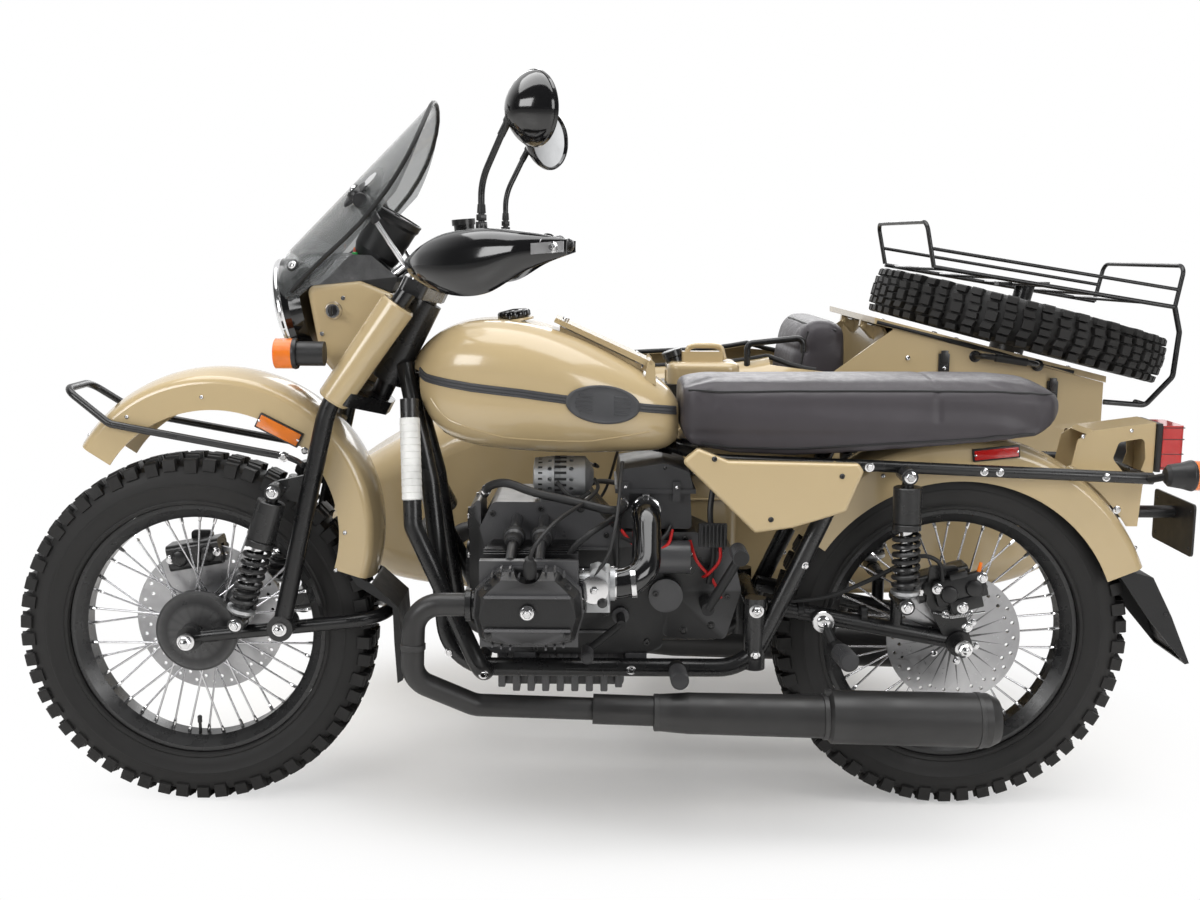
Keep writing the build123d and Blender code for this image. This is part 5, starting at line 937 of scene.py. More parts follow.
# clamps where the screen's struts end, inside and outside
b = Build()
for s in SIDES:
    q, n = on_screen(s * 96, 168)
    w = n.cross(SLOPE).normalized()
    steps = ((0.0007, 1), (0.0035, 0.9), (0.0055, 0.62))
    b.add([p for lift, k in steps for p in oval(q + n * lift, SLOPE, w, 31 * k, 16.5 * k, 24)], tube_faces(3, 24))
    pad = FOOT + SLOPE * 0.168 - FACE * 0.044 + Y * s * 0.096
    t = (at(1040, s * 62, 1042) - pad).normalized()
    b.turned(pad + t * 0.004, t, [(0, 9), (2, 13.5), (20, 13.5), (23, 11.5), (40, 10.5), (42, 8)], 24, 0)
    b.collar(pad - Y * 0.018, Y, 12.5, 14.5, 3, 36, 28, 0, True)
    b.turned(pad, FACE, [(0, 13.8), (4, 15.5), (18, 15.5), (21, 13.8)], 28, 0)
b.object("strut_clamps", [moulded("clamp_black", (0.008, 0.008, 0.009), 0.36, 500, 0.08)], "steering")


# hand guards: crowned gloss shells with a lip along the top, bar weights, arms and silver end plates
def through(rows, d):
    """Height of a smooth line through (distance, height) rows."""
    k = max(0, min(len(rows) - 2, sum(1 for r in rows[1:] if r[0] <= d)))
    (x1, y1), (x2, y2) = rows[k], rows[k + 1]
    x0, y0 = rows[k - 1] if k else (x1, y1)
    x3, y3 = rows[k + 2] if k + 2 < len(rows) else (x2, y2)
    t = (d - x1) / (x2 - x1)
    m1 = (y2 - y0) / max(1, x2 - x0) * (x2 - x1)
    m2 = (y3 - y1) / max(1, x3 - x1) * (x2 - x1)
    cube, square = t ** 3, t * t
    return (2 * cube - 3 * square + 1) * y1 + (cube - 2 * square + t) * m1 + (3 * square - 2 * cube) * y2 + (
        cube - square) * m2


GUARD_LOW = ((2, 1068), (60, 1044), (130, 1006), (210, 1004), (290, 1026), (318, 1042))
GUARD_TOP = ((2, 1092), (70, 1104), (150, 1108), (240, 1094), (318, 1060))
GUARD_BOW = 0.042
GRIP_TIP, GRIP_END = (764, 413, 1083), (915, 270, 1080)
NU, NV = 44, 16


def side_on(p, s):
    return at(p[0], s * p[1], p[2])


b = Build()
for s in SIDES:
    p0, p1 = at(734, s * 450, 0), at(1010, s * 285, 0)
    along = (p1 - p0).normalized()
    out = Vector((-along.y, along.x, 0))
    if out.x < 0:
        out = -out
    chord = (p1 - p0).length
    bow = (chord * chord / 4 + GUARD_BOW ** 2) / (2 * GUARD_BOW)

    def bowed(d):
        """Point of the guard's plan at d along its chord."""
        e = d / 1000 - chord / 2
        return p0 + along * (d / 1000) + out * (math.sqrt(bow * bow - e * e) - (bow - GUARD_BOW))

    skin = []
    for i in range(NU + 1):
        d = 2 + (chord * 1000 - 6) * i / NU
        low, top = through(GUARD_LOW, d), through(GUARD_TOP, d)
        swell = 0.020 * min(1, d / 70) ** 0.8 * min(1, (322 - d) / 60) ** 0.7
        for j in range(NV + 1):
            v = j / NV
            lift = swell * (4 * v * (1 - v)) ** 0.8
            lift -= 0.008 * max(0.0, (v - 0.86) / 0.14) ** 1.5 * min(1, d / 60)
            lift -= 0.0022 * math.exp(-((v - 0.84) / 0.035) ** 2) * min(1, d / 60)
            skin.append(bowed(d) + out * lift + Z * ((low + (top - low) * v) / 1000))
    n, row = len(skin), NV + 1
    faces = []
    for i in range(NU):
        for k in range(i * row, i * row + NV):
            q = [k, k + 1, k + row + 1, k + row]
            faces += [q, [n + t for t in q[::-1]]]
    rim = list(range(row)) + [i * row + NV for i in range(1, NU + 1)]
    rim += [NU * row + j for j in range(NV - 1, -1, -1)] + [i * row for i in range(NU - 1, 0, -1)]
    faces += [[g, k, n + k, n + g] for k, g in zip(rim, rim[1:] + rim[:1])]
    b.add(skin + [q - out * 0.003 for q in skin], faces, 0)
    tip = side_on(GRIP_TIP, s)
    end = (tip - side_on(GRIP_END, s)).normalized()
    side = Vector((end.y * s, -end.x * s, 0))
    if side.x < 0:
        side = -side
    b.turned(tip + end * 0.0003, end, [(0, 12), (1, 13), (14.5, 13), (16, 11.8)], 32, 1)
    b.bar([tip + end * 0.009, tip + end * 0.009 + out * 0.027], 8, 16, 1)
    arm = at(968, s * 190, 1065)
    b.bar([arm, Vector((p1.x, p1.y, 1.048)) - along * 0.014 + out * 0.006], 7, 16, 1)
    b.box(arm, (34, 34, 34), 1, 5, Matrix.Rotation(radians(60 * s), 3, "Z"))
    # end plate, round at both ends, and its leg along the outer end of the shell
    c = tip + end * 0.0165
    left, right = c - side * 0.004, c + side * 0.030
    rim = oval(left, Z, -side, 14.5, 14.5, 24)[:13] + oval(right, -Z, side, 10.5, 10.5, 24)[:13]
    b.add([p + end * d for d in (0.0, 0.0028) for p in rim], tube_faces(2, 26), 2)
    leg = []
    for d in (4, 16, 30, 44):
        rise = (through(GUARD_LOW, d) + through(GUARD_TOP, d)) / 2000 + 0.001
        leg.append(bowed(d) + out * (0.0016 + 0.020 * (d / 70) ** 0.8) + Z * rise)
    half = Z * 0.0085
    for q, e in zip(leg, leg[1:]):
        pts = [q - half, q + half, e + half, e - half]
        b.add(pts + [p + out * 0.0022 for p in pts],
              [[0, 1, 2, 3], [7, 6, 5, 4], [0, 4, 5, 1], [1, 5, 6, 2], [2, 6, 7, 3], [3, 7, 4, 0]], 2)
    b.bolt(leg[1] + out * 0.002, out, 6, 4.5, 3)
    b.bolt(left + end * 0.0028, end, 6.2, 4.5, 3)
guard_mats = [GLOSSB, BLACK, satin_metal("guard_alloy", (0.55, 0.55, 0.56), 0.32, 0.9, 0.08), CHROME]
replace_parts(b.object("guard_shells", guard_mats, "steering", 40), "hand_guards")

# stays from the ends of the front bars to the fork legs
b = Build()
for s in SIDES:
    b.hose([(1300, 82.5, 697), (1262, 82.5, 690), (1240, 96, 684), (1226, 116, 680)], 5.5, 14, 0, 0.35, 6, s)
    b.bolt(at(1268, s * 88, 691), Y * s, 6.5, 5, 1)
b.object("bumper_stays", [BLACK, CHROME], "steering")

# key switch on the lamp housing, kill switch and its red button
b = Build()
q, n = snap("nacelle", 1168, 100, 962, Y)
b.turned(q - n * 0.001, n, [(0, 16.5), (3, 16.5), (5, 15), (10, 13.5), (12, 12.5), (12, 8.5), (9, 8)], 32, 0)
b.turned(q + n * 0.008, n, [(0, 8.2), (3, 7.8), (3.4, 2)], 24, 1)
b.box(q + n * 0.013, (2.4, 8, 10), 0, 0.6)
b.box(q + n * 0.026, (2.2, 20, 18), 1, 3)
for s in SIDES:
    a = side_on(GRIP_TIP, s)
    t = (side_on(GRIP_END, s) - a).normalized()
    c = a + t * 0.146
    b.box(c + Z * 0.001, (26, 36, 40), 1, 6, Matrix((t, Z.cross(t), Z)).transposed())
    for k in (-1, 1):
        b.turned(c + Z * 0.018 + t * 0.006 * k, Z, [(0, 4.2), (4.5, 4.2), (5.5, 3)], 14, 2 if k > 0 else 1)
b.object("switches", [CHROME, PLASTIC, RED], "steering")

# grips: fine collars and grooves; levers in front; switch gear
b = Build()
for s in SIDES:
    a = side_on(GRIP_TIP, s)
    t = (side_on(GRIP_END, s) - a).normalized()
    for k in range(17):
        b.turned(a + t * (0.012 + k * 0.006), t, [(0, 15.2), (1, 16.6), (3.2, 16.6), (4.2, 15.2)], 24, 0, False)
    b.turned(a, t, [(-0.2, 10.5), (0, 17.5), (4, 18.5), (8, 16.5)], 24, 0)
    b.turned(a + t * 0.118, t, [(0, 16), (3, 21.5), (6, 21.5), (8, 16)], 24, 0)
    fwd = Vector((t.y * s, -t.x * s, 0))
    if fwd.x < 0:
        fwd = -fwd
    # lever on its perch
    pivot = a + t * 0.170 + fwd * 0.030 + Z * 0.002
    lever = arc_pts([pivot, a + t * 0.100 + fwd * 0.040, a + t * 0.018 + fwd * 0.046 - Z * 0.006], 0.4, 6)
    b.bar(lever, [6.2] * 2 + [5.2] * (len(lever) - 3) + [6.2], 12, 1)
    b.turned(pivot - Z * 0.011, Z, [(0, 11), (22, 11), (23, 9)], 20, 2)
    b.bolt(pivot + Z * 0.0115, Z, 5, 4, 1)
    b.bar([pivot, a + t * 0.166], [9, 12], 12, 2)
    b.collar(a + t * 0.158, t, 14.5, 15.5, 2, 20, 24, 2, True)
b.object("grip_dressing", [RUBBER, STEEL, BLACK], "steering")


# ------------------------------------------------------------------ tank bands, knee pads, cap, tool lid
def ribbon(b, route, profile):
    """Moulded strip on the tank: at each (x, y, z, way) of the route, rows of (offset, height) across it."""
    verts = []
    for k, (x, y, z, way) in enumerate(route):
        a, c = route[max(0, k - 1)], route[min(len(route) - 1, k + 1)]
        cross = (at(*c[:3]) - at(*a[:3])).cross(Vector(way)).normalized()
        if cross.z < 0:
            cross = -cross
        for off, h in profile:
            q, nrm = snap("fuel_tank", x + cross.x * off, y + cross.y * off, z + cross.z * off, way)
            verts.append(q + nrm * (h / 1000))
    n, rows = len(profile), len(route)
    faces = [[k * n + i, k * n + i + 1, (k + 1) * n + i + 1, (k + 1) * n + i]
             for k in range(rows - 1) for i in range(n - 1)]
    b.add(verts, faces + [list(range(n)), list(range(rows * n - 1, rows * n - n - 1, -1))])


def spaced(rows, step=7.0):
    """More points between the rows of a route."""
    out = []
    for (x0, z0), (x1, z1) in zip(rows, rows[1:]):
        n = max(1, int(math.hypot(x1 - x0, z1 - z0) / step))
        out += [(x0 + (x1 - x0) * k / n, z0 + (z1 - z0) * k / n) for k in range(n)]
    return out + [rows[-1]]


HALF_RIB = ((8, -0.3), (7.6, 2.0), (5.4, 2.6), (3.6, 2.6), (3.2, 1.4), (2.4, 1.4), (2, 2.6))
RIBS = [(-y, h) for y, h in HALF_RIB] + list(HALF_RIB[::-1])
b = Build()
for s in SIDES:
    for rows in (((1016, 851), (991, 840), (950, 832), (916, 827), (826, 818), (732, 805)),
                 ((620, 791), (590, 786), (556, 781), (540, 779))):
        route = []
        for x, z in spaced(rows):
            lean = 1.2 * max(0.0, (x - 930) / 90) ** 2 - max(0.0, (600 - x) / 90)
            route.append((x, s * 60 if x > 940 or x < 600 else s * 100, z, (lean, s, 0)))
        ribbon(b, route, RIBS)
b.object("tank_bands", [BAND], "chassis", 50)
# oval pads: rim, sunk field and raised bars
PAD_X, PAD_Z, PAD_A, PAD_B, PAD_LEAN = 676.0, 796.0, 68.0, 35.0, 0.1
PAD_ROWS = ((1, -0.4), (1, 3.4), (0.965, 5.2), (0.90, 5.4), (0.865, 4.2), (0.84, 3.6), (0.6, 3.8), (0.3, 4.2), (0, 4.3))
b = Build()
for s in SIDES:
    verts, seg = [], 56
    for share, h in PAD_ROWS:
        for i in range(seg):
            a = 2 * pi * i / seg
            dx = PAD_A * share * cos(a)
            q, nrm = snap("fuel_tank", PAD_X + dx, s * 100, PAD_Z + PAD_B * share * sin(a) + dx * PAD_LEAN, (0, s, 0))
            verts.append(q + (nrm * 0.6 + Y * s * 0.4) * (h / 1000))
    b.add(verts, tube_faces(len(PAD_ROWS), seg, False))
    for off in (-15, -7.5, 0, 7.5, 15):
        half = PAD_A * 0.74 * math.sqrt(1 - (off / (PAD_B * 0.86)) ** 2)
        for lo, hi in ((-half, -20), (20, half)):
            rows = spaced([(PAD_X + dx, PAD_Z + off + dx * PAD_LEAN) for dx in (lo, hi)], 5)
            ribbon(b, [(x, s * 100, z, (0, s, 0)) for x, z in rows], ((-1.8, 3.2), (-1.2, 5.6), (1.2, 5.6), (1.8, 3.2)))
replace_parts(b.object("tank_pads", [BAND], "chassis", 40), "knee_pads")

# fuel cap: knobbly rim over the neck; rows of height, radius and whether it is notched
CAP = ((-4, 27, 0), (2, 28.5, 0), (4, 30, 0), (6, 31.2, 1), (13, 31.2, 1), (16, 29.5, 1), (17.5, 26, 0), (18.5, 18, 0),
       (19.5, 8, 0), (20, 0.5, 0))
cap_at = snap("fuel_tank", 843, 0, 940, (0.05, 0, 1))[0]
t = Vector((0.15, 0, 1)).normalized()
u = t.cross(Y).normalized()
w = t.cross(u)
b = Build()
verts, seg = [], 96
for d, r, notched in CAP:
    for i in range(seg):
        a = 2 * pi * i / seg
        rr = (r - notched * 2.2 * (0.5 - 0.5 * cos(12 * a)) ** 3) / 1000
        verts.append(cap_at + t * d / 1000 + (u * cos(a) + w * sin(a)) * rr)
b.add(verts, tube_faces(len(CAP), seg, False))
b.turned(cap_at - t * 0.003, t, [(0, 36), (3.5, 36), (4.5, 34), (4.5, 26)], 48, 1)
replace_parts(b.object("fuel_cap_knob", [GLOSSB, TAN], "chassis"), "fuel_cap")
LID_WAY = (-0.42, 0, 0.9)
lid_corners = [(752, 46, 942), (752, -46, 942), (610, 46, 878), (610, -46, 878)]
fasten("tool_lid_screws", [("tank_lid", "dome", 3.4, 0, LID_WAY, lid_corners),
                           ("tank_lid", "socket", 6.5, 0, LID_WAY, [(748, 0, 941)])], [CHROME, BLACK], "toolbox")
# seam where the two halves of the tank meet, low on the flanks
SEAM = spaced(((1000, 800), (960, 765), (860, 738), (700, 728), (590, 740)), 24)
for s, tag in ((1, "left"), (-1, "right")):
    b = Build()
    line = [snap("fuel_tank", x, s * 100, z, (max(0, (x - 960) / 60), s, -0.25))[0] for x, z in SEAM]
    b.hose(line, 1.6, 8, 0, 0.35, 4)
    b.object("tank_seam_" + tag, [TAN], "chassis")
cover_screws = [(476, 178, 706), (246, 178, 676), (372, 178, 596)]
fasten("cover_screws", [("side_covers", "dome", 5, 0, "B", cover_screws)], [BLACK])

# ------------------------------------------------------------------ engine dressing
CYL_X, CYL_Z = 801.0, 479.0
DUCT_Y = 275


def intake_pick(x, y, z):
    if z > 610 and y < 95:
        return 0
    if x < 656 and abs(y) < 310:
        return 1
    if abs(x - 680) < 30 and abs(y) > 230:
        return 0
    return 1 if x < 662 else 2


def cover_pick(x, y, z):
    return 1 if abs(y) > 389.5 and abs(z - CYL_Z) > 16 else 0


repaint("intakes", [ALLOY, GLOSSB, BLACK], intake_pick)
repaint("valve_covers", [ENGINE, satin_metal("bare_ridge", (0.11, 0.11, 0.115), 0.28, 0.6, 0.15)], cover_pick)
b = Build()
for s in SIDES:
    n = Y * s
    # centre bolt on its boss, cover studs, ribs over the top and the foot of the cover
    b.bolt(at(CYL_X, s * 392, CYL_Z), n, 7.5, 7, 0)
    for dx, dz in ((-66, 40), (66, 40), (-66, -40), (66, -40)):
        q, _ = snap("valve_covers", CYL_X + dx, s * 380, CYL_Z + dz, n)
        b.turned(q - n * 0.001, n, [(0, 7), (2, 7), (2.8, 4.5), (3.2, 1)], 14, 1)
    for k in range(-4, 5):
        for z, way, lift in ((545, Z, 0.0015), (413, -Z, 0.0012)):
            q, _ = snap("valve_covers", CYL_X + k * 15, s * 352, z, way, 0.05)
            b.box(q + n * 0.004 + way * lift, (3.5, 30, 6), 2, 0.8)
    # plug cap and its lead up to the coil
    p = at(CYL_X - 4, s * 372, 536)
    way = Vector((0, s * 0.45, 0.9)).normalized()
    b.turned(p - way * 0.012, way, [(0, 8), (12, 8.5), (16, 11.5), (40, 11.5), (44, 9), (52, 7.5)], 16, 3)
    b.hose([p + way * 0.036, (791, 392, 592), (755, 340, 626), (709, 230, 634), (681, 120, 640), (690, 86, 652)],
           3.6, 8, 3, s=s)
    # rubber caps on the pushrod tubes
    for x in (CYL_X + 33, CYL_X - 17):
        foot = at(x, s * 96, 580)
        run = (at(x, s * 320, 548) - foot).normalized()
        b.turned(foot + run * 0.090, run, [(0, 11.5), (4, 19), (8, 20.5), (12, 19), (15, 20.5), (19, 19), (22, 15),
                                           (46, 14), (50, 10.5)], 24, 3)
    # exhaust nut with its cooling ring
    b.turned(at(884, s * 305, 470), X, [(0, 21.5), (2, 29), (10, 29), (12, 24.5), (15, 24.5), (17, 28.5), (26, 28.5),
                                        (28, 21)], 36, 1)
    # clamps on the intake elbow
    for p, t in ((at(656, s * DUCT_Y, 500), X), (at(622, s * DUCT_Y, 503), Vector((1, 0, -0.1)).normalized()),
                 (at(596, s * 120, 600), Y)):
        b.collar(p - t * 0.005, t, 26.2, 27.8, 0.5, 9.5, 36)
        b.box(p + Z * 0.0285, (12, 10, 6), 0, 1)
    # throttle body: cable wheel, stop screw, flange bolts, sensor
    b.turned(at(690, s * 309, 500), n, [(0, 24), (3, 24), (4, 20), (7, 20), (8, 24), (11, 24), (13, 10)], 32, 0)
    b.bolt(at(690, s * 322, 500), n, 5, 5, 0)
    b.turned(at(676, s * 309, 478), n, [(0, 9), (12, 9), (14, 6)], 16, 1)
    b.hose([(690, 312, 524), (664, 316, 560), (650, 270, 620), (640, 120, 690)], 3.2, 8, 3, s=s)
    for dz in (-22, 22):
        b.bolt(at(709, s * DUCT_Y, 500 + dz), X, 4.5, 4, 0)
    # breather and balance hoses
    b.hose([(742, 250, 520), (730, 262, 560), (690, 250, 590), (650, 180, 600), (628, 100, 606)], 5.5, 10, 3, s=s)
b.object("engine_trim", [CHROME, BLACK, ENGINE, RUBBER], "chassis")

# the thick hose from the front tube back over the engine, with clamps, and the wiring beside the case
b = Build()
hose = [at(*p) for p in ((893, 112, 628), (884, 150, 650), (850, 172, 662), (800, 196, 646), (730, 220, 636),
                         (664, 236, 622), (640, 200, 618), (636, 110, 622))]
b.hose(hose, 7.8, 14, 0)
for p, q in ((hose[0], hose[1]), (hose[6], hose[7])):
    t = (q - p).normalized()
    b.collar(p.lerp(q, 0.5) - t * 0.004, t, 7.8, 9.2, 0.3, 8.3, 20, 1)
for r, mi, pts in (
    (3.2, 2, ((545, 100, 560), (552, 118, 532), (590, 124, 520), (622, 120, 538), (640, 104, 560))),
    (3.0, 2, ((512, 100, 540), (500, 112, 500), (470, 112, 472), (452, 100, 430))),
    (4.0, 0, ((548, 98, 566), (560, 120, 548), (600, 128, 534), (640, 112, 548))),
    (5.5, 0, ((470, 96, 640), (478, 112, 590), (466, 118, 520), (476, 110, 460))),
    (5.0, 0, ((640, 96, 600), (650, 108, 560), (648, 118, 470), (664, 112, 420))),
    (4.2, 0, ((700, 88, 628), (720, 104, 616), (742, 112, 628), (760, 96, 648))),
):
    b.hose(pts, r, 8, mi, n=7)
b.object("hoses", [RUBBER, CHROME, RED_WIRE], "chassis")

# bolts round the case, the starter and the gearbox
CASE = ((888, 346), (888, 420), (888, 505), (880, 588), (790, 598), (716, 598), (668, 548), (668, 470), (668, 400),
        (700, 332), (800, 330), (590, 342), (575, 440), (570, 535), (468, 372), (438, 428), (452, 520), (520, 540),
        (520, 362))
rows = [("engine_case", "socket" if (x + z) % 3 else "hex", 5.2 if z > 350 else 6, 0, "B", [(x, 118, z)])
        for x, z in CASE]
rows.append(("engine_case", "socket", 4.5, 1, (1, 0, 0), [(926, y, z) for y, z in (
    (-60, 430), (60, 430), (-60, 575), (60, 575), (0, 605), (-62, 500), (62, 500))]))
rows.append(("engine_case", "hex", 4, 1, (-1, 0, 0), [
    (512, 100 + 20 * cos(radians(a)), 508 + 20 * sin(radians(a))) for a in (30, 150, 270)]))
fasten("case_bolts", rows, [BLACK, CHROME])
# relay block with cooling fins beside the gearbox
b = Build()
b.box(at(472, 128, 556), (52, 14, 44), 0, 2)
for k in range(7):
    b.box(at(451 + k * 7, 137, 556), (2.4, 12, 40), 0, 0.5)
b.bar([at(472, 122, 556), at(472, 84, 556)], 8, 10, 0)
b.hose([(458, 128, 536), (456, 130, 508), (478, 122, 480), (486, 100, 470)], 3, 8, 1, n=6)
b.object("regulator", [moulded("finned_black", (0.014, 0.014, 0.015), 0.45), RED_WIRE], "chassis")

# white cloth wrap round the upper crash bar
b = Build()
for s in SIDES:
    top = at(1034, s * 84, 800)
    t = (at(1024, s * 130, 570) - top).normalized()
    prof = [(0, 17)]
    for k in range(12):
        prof += [(1 + (k + share) * 12.5, r) for share, r in ((0, 18.4), (0.92, 19), (0.96, 18.2))]
    b.turned(top + t * 0.035, t, prof + [(152, 17)], 28, 0, False)
b.object("bar_wrap", [moulded("white_tape", (0.72, 0.72, 0.7), 0.5, 200, 0.05)], "chassis")

# muffler bands
b = Build()
for s in SIDES:
    for x, r in ((572, 33.5), (268, 41.5), (-8, 50.5)):
        b.collar(at(x, s * 232, 240.4 + x * 0.02), X, r - 2.5, r, 1, 10, 48)
    b.box(at(268, s * 232, 288.8), (12, 16, 14), 0, 2)
    b.collar(at(1003, s * 303, 400), Vector((0.02, 0, -1)), 20.2, 21.8, 1, 11, 32)
b.object("muffler_bands", [EXHAUST], "chassis")

# finned sump under the frame tubes
b = Build()
for k in range(9):
    b.box(at(642 + k * 28, 0, 284), (14, 150, 80 if k in (0, 8) else 96), 0, 3)
b.box(at(750, 0, 300), (252, 128, 72), 0, 10)
b.box(at(750, 0, 262), (238, 108, 40), 0, 8)
for s in SIDES:
    for x in (648, 704, 760, 816, 862):
        b.bolt(at(x, s * 75, 326), Y * s, 5.5, 4, 1)
b.turned(at(700, 0, 243), -Z, [(0, 12), (3, 12), (4, 8), (10, 8), (11, 7)], 6, 1)
b.object("sump", [ENGINE, CHROME], "chassis")
# black strips round the alternator stand in for its vent slots: painted shade of the openings
b = Build()
for k in range(20):
    a = radians(18 * k)
    u = Vector((0, cos(a), sin(a)))
    rot = Matrix((X, u, X.cross(u))).transposed()
    b.box(at(754, 50, 652) + u * 0.0375, (22, 2.2, 5), 0, 0.6, rot)
    b.box(at(786, 50, 652) + u * 0.0345, (20, 2, 4), 0, 0.6, rot)
b.object("alternator_vent_shade_strips", [PLASTIC], "chassis")

# ------------------------------------------------------------------ lamps, reflectors, pegs and fasteners
def lens_pick(x, y, z):
    if y > -300:
        return 1 if x < -389.5 else 0
    if x < 100:
        return 2 if x < LEAD - 309 and z > 560 else 0
    return 1 if x > LEAD + 258 else 0


repaint("rear_indicators", [PLASTIC, AMBER, RED], lens_pick)
repaint("tail_lamp", [PLASTIC, RED], lambda x, y, z: 1 if x < -381 else 0)
b = Build()
for s in SIDES:
    b.turned(at(-389, s * 160, 678), -X, [(-3, 27.5), (0, 28.5), (3, 27.5)], 36, 0, False)
for z in (674, 700, 728, 750):
    b.box(at(-398, 0, z), (49.2, 96.4, 1.8), 0, 0.5)
for y in (-36, 36):
    b.turned(at(-422, y, 712), -X, [(-1, 4), (1.8, 3.8), (2.2, 2)], 12, 1)
b.object("lamp_trim", [PLASTIC, CHROME], "chassis")


def reflector(name, node, x, z, width, height, tilt, glow, body):
    b = Build()
    for s in SIDES:
        n = Y * s
        rot = Matrix.Rotation(radians(tilt), 3, "Y")
        c = snap(node, x, s * 76, z, n)[0] + n * 0.002
        b.box(c, (width, 7, height), 0, 1.8, rot)
        b.box(c + n * 0.0035, (width - 6, 4, height - 6), 1, 1.4, rot)
        for e in (-1, 1):
            screw = c + rot @ Vector((e * (width / 2 - 5), s * 3.5, 0)) / 1000
            b.turned(screw, n, [(0, 3), (1.5, 3), (2.2, 1.5)], 12, 2)
    b.object(name, [PLASTIC, glow, CHROME], body)


# each reflector's lens takes the amber or red lens finish, whose faint emission makes it glow though it holds no lamp:
# painted light
reflector("front_reflectors", "front_fender", 1286, 726, 88, 30, -27, AMBER, "steering")
reflector("rear_reflectors", "rear_fender", -59, 704, 88, 24, 6, RED, "chassis")

# ribbed rubbers on the pegs and pedals
b = Build()
for s in SIDES:
    for p, e, r, n in (
        (at(536, s * 176, 309.5), at(536, s * 249, 315.9), 14, 9),
        (at(236, s * 170, 345.4), at(232, s * 235, 348), 16, 8),
        (at(702, s * 160, 345), at(702, s * 213, 345), 9, 7),
    ):
        t = (e - p).normalized()
        step = (e - p).length * 1000 / n
        rib = [(0, r - 0.6), (step * 0.16, r + 2.6), (step * 0.6, r + 2.6), (step * 0.76, r - 0.6)]
        for k in range(n):
            b.turned(p + t * step * k / 1000, t, rib, 24, 0, False)
        b.turned(e - t * 0.0005, t, [(0, r + 1), (1, r + 0.8), (2.2, r - 3)], 24, 0)
    b.turned(at(262, s * 122.5, 391), Y * s, [(0, 20.5), (3, 20.5), (4.5, 19), (4.5, 12.5), (9, 12), (11, 9), (11, 4),
                                              (8, 3)], 36, 1)
for k in range(8):
    b.turned(at(426, 132 + 7.8 * k, 528), Y, [(0, 13.4), (1.4, 15.6), (5, 15.6), (6.2, 13.4)], 24, 0, False)
b.object("peg_rubbers", [GREYPL, CHROME], "chassis")

# axle and pivot nuts, rail and mudguard bolts
fasten("front_fasteners", [
    ("leading_link", "nut", 11, 1, "B", [(WHEELBASE, 115, TYRE_R)]),
    ("fork", "nut", 9, 1, "B", [(1275, 131, 373)]),
    ("fork", "socket", 12, 1, (-0.57, 0, 0.82), [(1022, 114, 1010), (1022, -114, 1010)]),
    ("fork", "hex", 5, 0, "B", [(1262, 122, 634)]),
    ("front_fender", "dome", 4.5, 1, "B", [(1210, 76, 655), (1160, 76, 545), (1180, 76, 470)]),
    ("front_fender", "hex", 4.5, 1, "B", [(1232, 76, 700)]),
    ("front_fender", "dome", 4, 1, "B", [(1420, 76, 800), (1560, 76, 762)]),
    ("nacelle", "socket", 4, 1, "B", [(1150, 95, 985), (1190, 95, 920)]),
    ("front_fender", "dome", 4.5, 1, (0.6, 0, 0.8), [(1658, -22, 730), (1658, 22, 730)]),
], [BLACK, CHROME], "steering")
fasten("rear_fasteners", [
    ("swingarm", "nut", 11, 1, "N", [(0, 136, TYRE_R)]), ("swingarm", "nut", 11, 1, "F", [(0, -110, TYRE_R)]),
    ("main_frame", "nut", 9, 1, "B", [(389, 140, 416)]),
    ("main_frame", "hex", 6, 1, "B", [(389, 140, 330), (186, 124, 684), (960, 137, 330), (620, 137, 300)]),
    ("main_frame", "hex", 5, 1, "B", [(-25, 124, 676.5), (-54, 124, 675.5), (-250, 124, 667.5), (300, 130, 500)]),
    ("swingarm", "hex", 6, 1, "B", [(117, 100, 431)]), ("rear_fender", "hex", 5, 1, "B", [(-304, 76, 592)]),
    ("rear_fender", "dome", 4.5, 1, "B", [(-340, 76, 520), (250, 76, 600), (150, 76, 660)]),
    ("rear_fender", "dome", 4, 1, "B", [(-322, 46, 744), (-230, 46, 734)]),
    ("rear_flap", "dome", 3.5, 0, "B", [(-400, 73, 395)]), ("crash_bars", "hex", 6, 1, "B", [(892, 178, 305)]),
    ("air_box", "dome", 3.5, 1, "B", [(633, 104, 640), (538, 104, 640)]),
    ("air_box", "dome", 3.5, 0, "B", [(560, 100, 676)]),
], [BLACK, CHROME])


def caliper_parts(b, cx, cy, ang, disc_r, disc_y):
    """Pistons' caps and bolts on both faces of a caliper at ang degrees round its disc."""
    ax, az = cos(radians(ang)), sin(radians(ang))
    x, z = cx + ax * (disc_r - 14), TYRE_R + az * (disc_r - 14)
    for s in SIDES:
        n = Y * s
        face = cy + disc_y + s * 30.5
        for off in (-27, 27):
            p = at(x - az * off, face, z + ax * off)
            b.turned(p - n * 0.001, n, [(0, 17.5), (3, 17.5), (6, 15.5), (7.5, 13), (7.5, 0)], 28, 0)
        for off in (-46, 46):
            b.bolt(at(x - az * off, face, z + ax * off), n, 5.8, 5, 1)


b = Build()
caliper_parts(b, WHEELBASE, 0, 80, 147.5, -58)
b.object("front_caliper_parts", [BLACK, CHROME], "steering")
b = Build()
caliper_parts(b, 0, 0, 75, 128, 58)
caliper_parts(b, LEAD, -TRACK, 100, 122.5, 58)
# return spring between two rods
p, q = at(-20, 108, 404), at(22, 108, 398)
helix(b, p, q, 4.8, 1.1, 14, 1, 14, 6)
b.bar([at(-44, 108, 408), p], 1.8, 8, 1)
b.bar([q, at(52, 106, 404)], 1.8, 8, 1)
b.object("rear_caliper_parts", [BLACK, CHROME], "chassis")

# rear caliper's body in front of its bracket, its pistons, bleed nipple and hose
b = Build()
tilt = Matrix.Rotation(radians(15), 3, "Y")


def on_caliper(x, y, z):
    return at(4, 105, 452) + tilt @ Vector((x, y, z)) / 1000


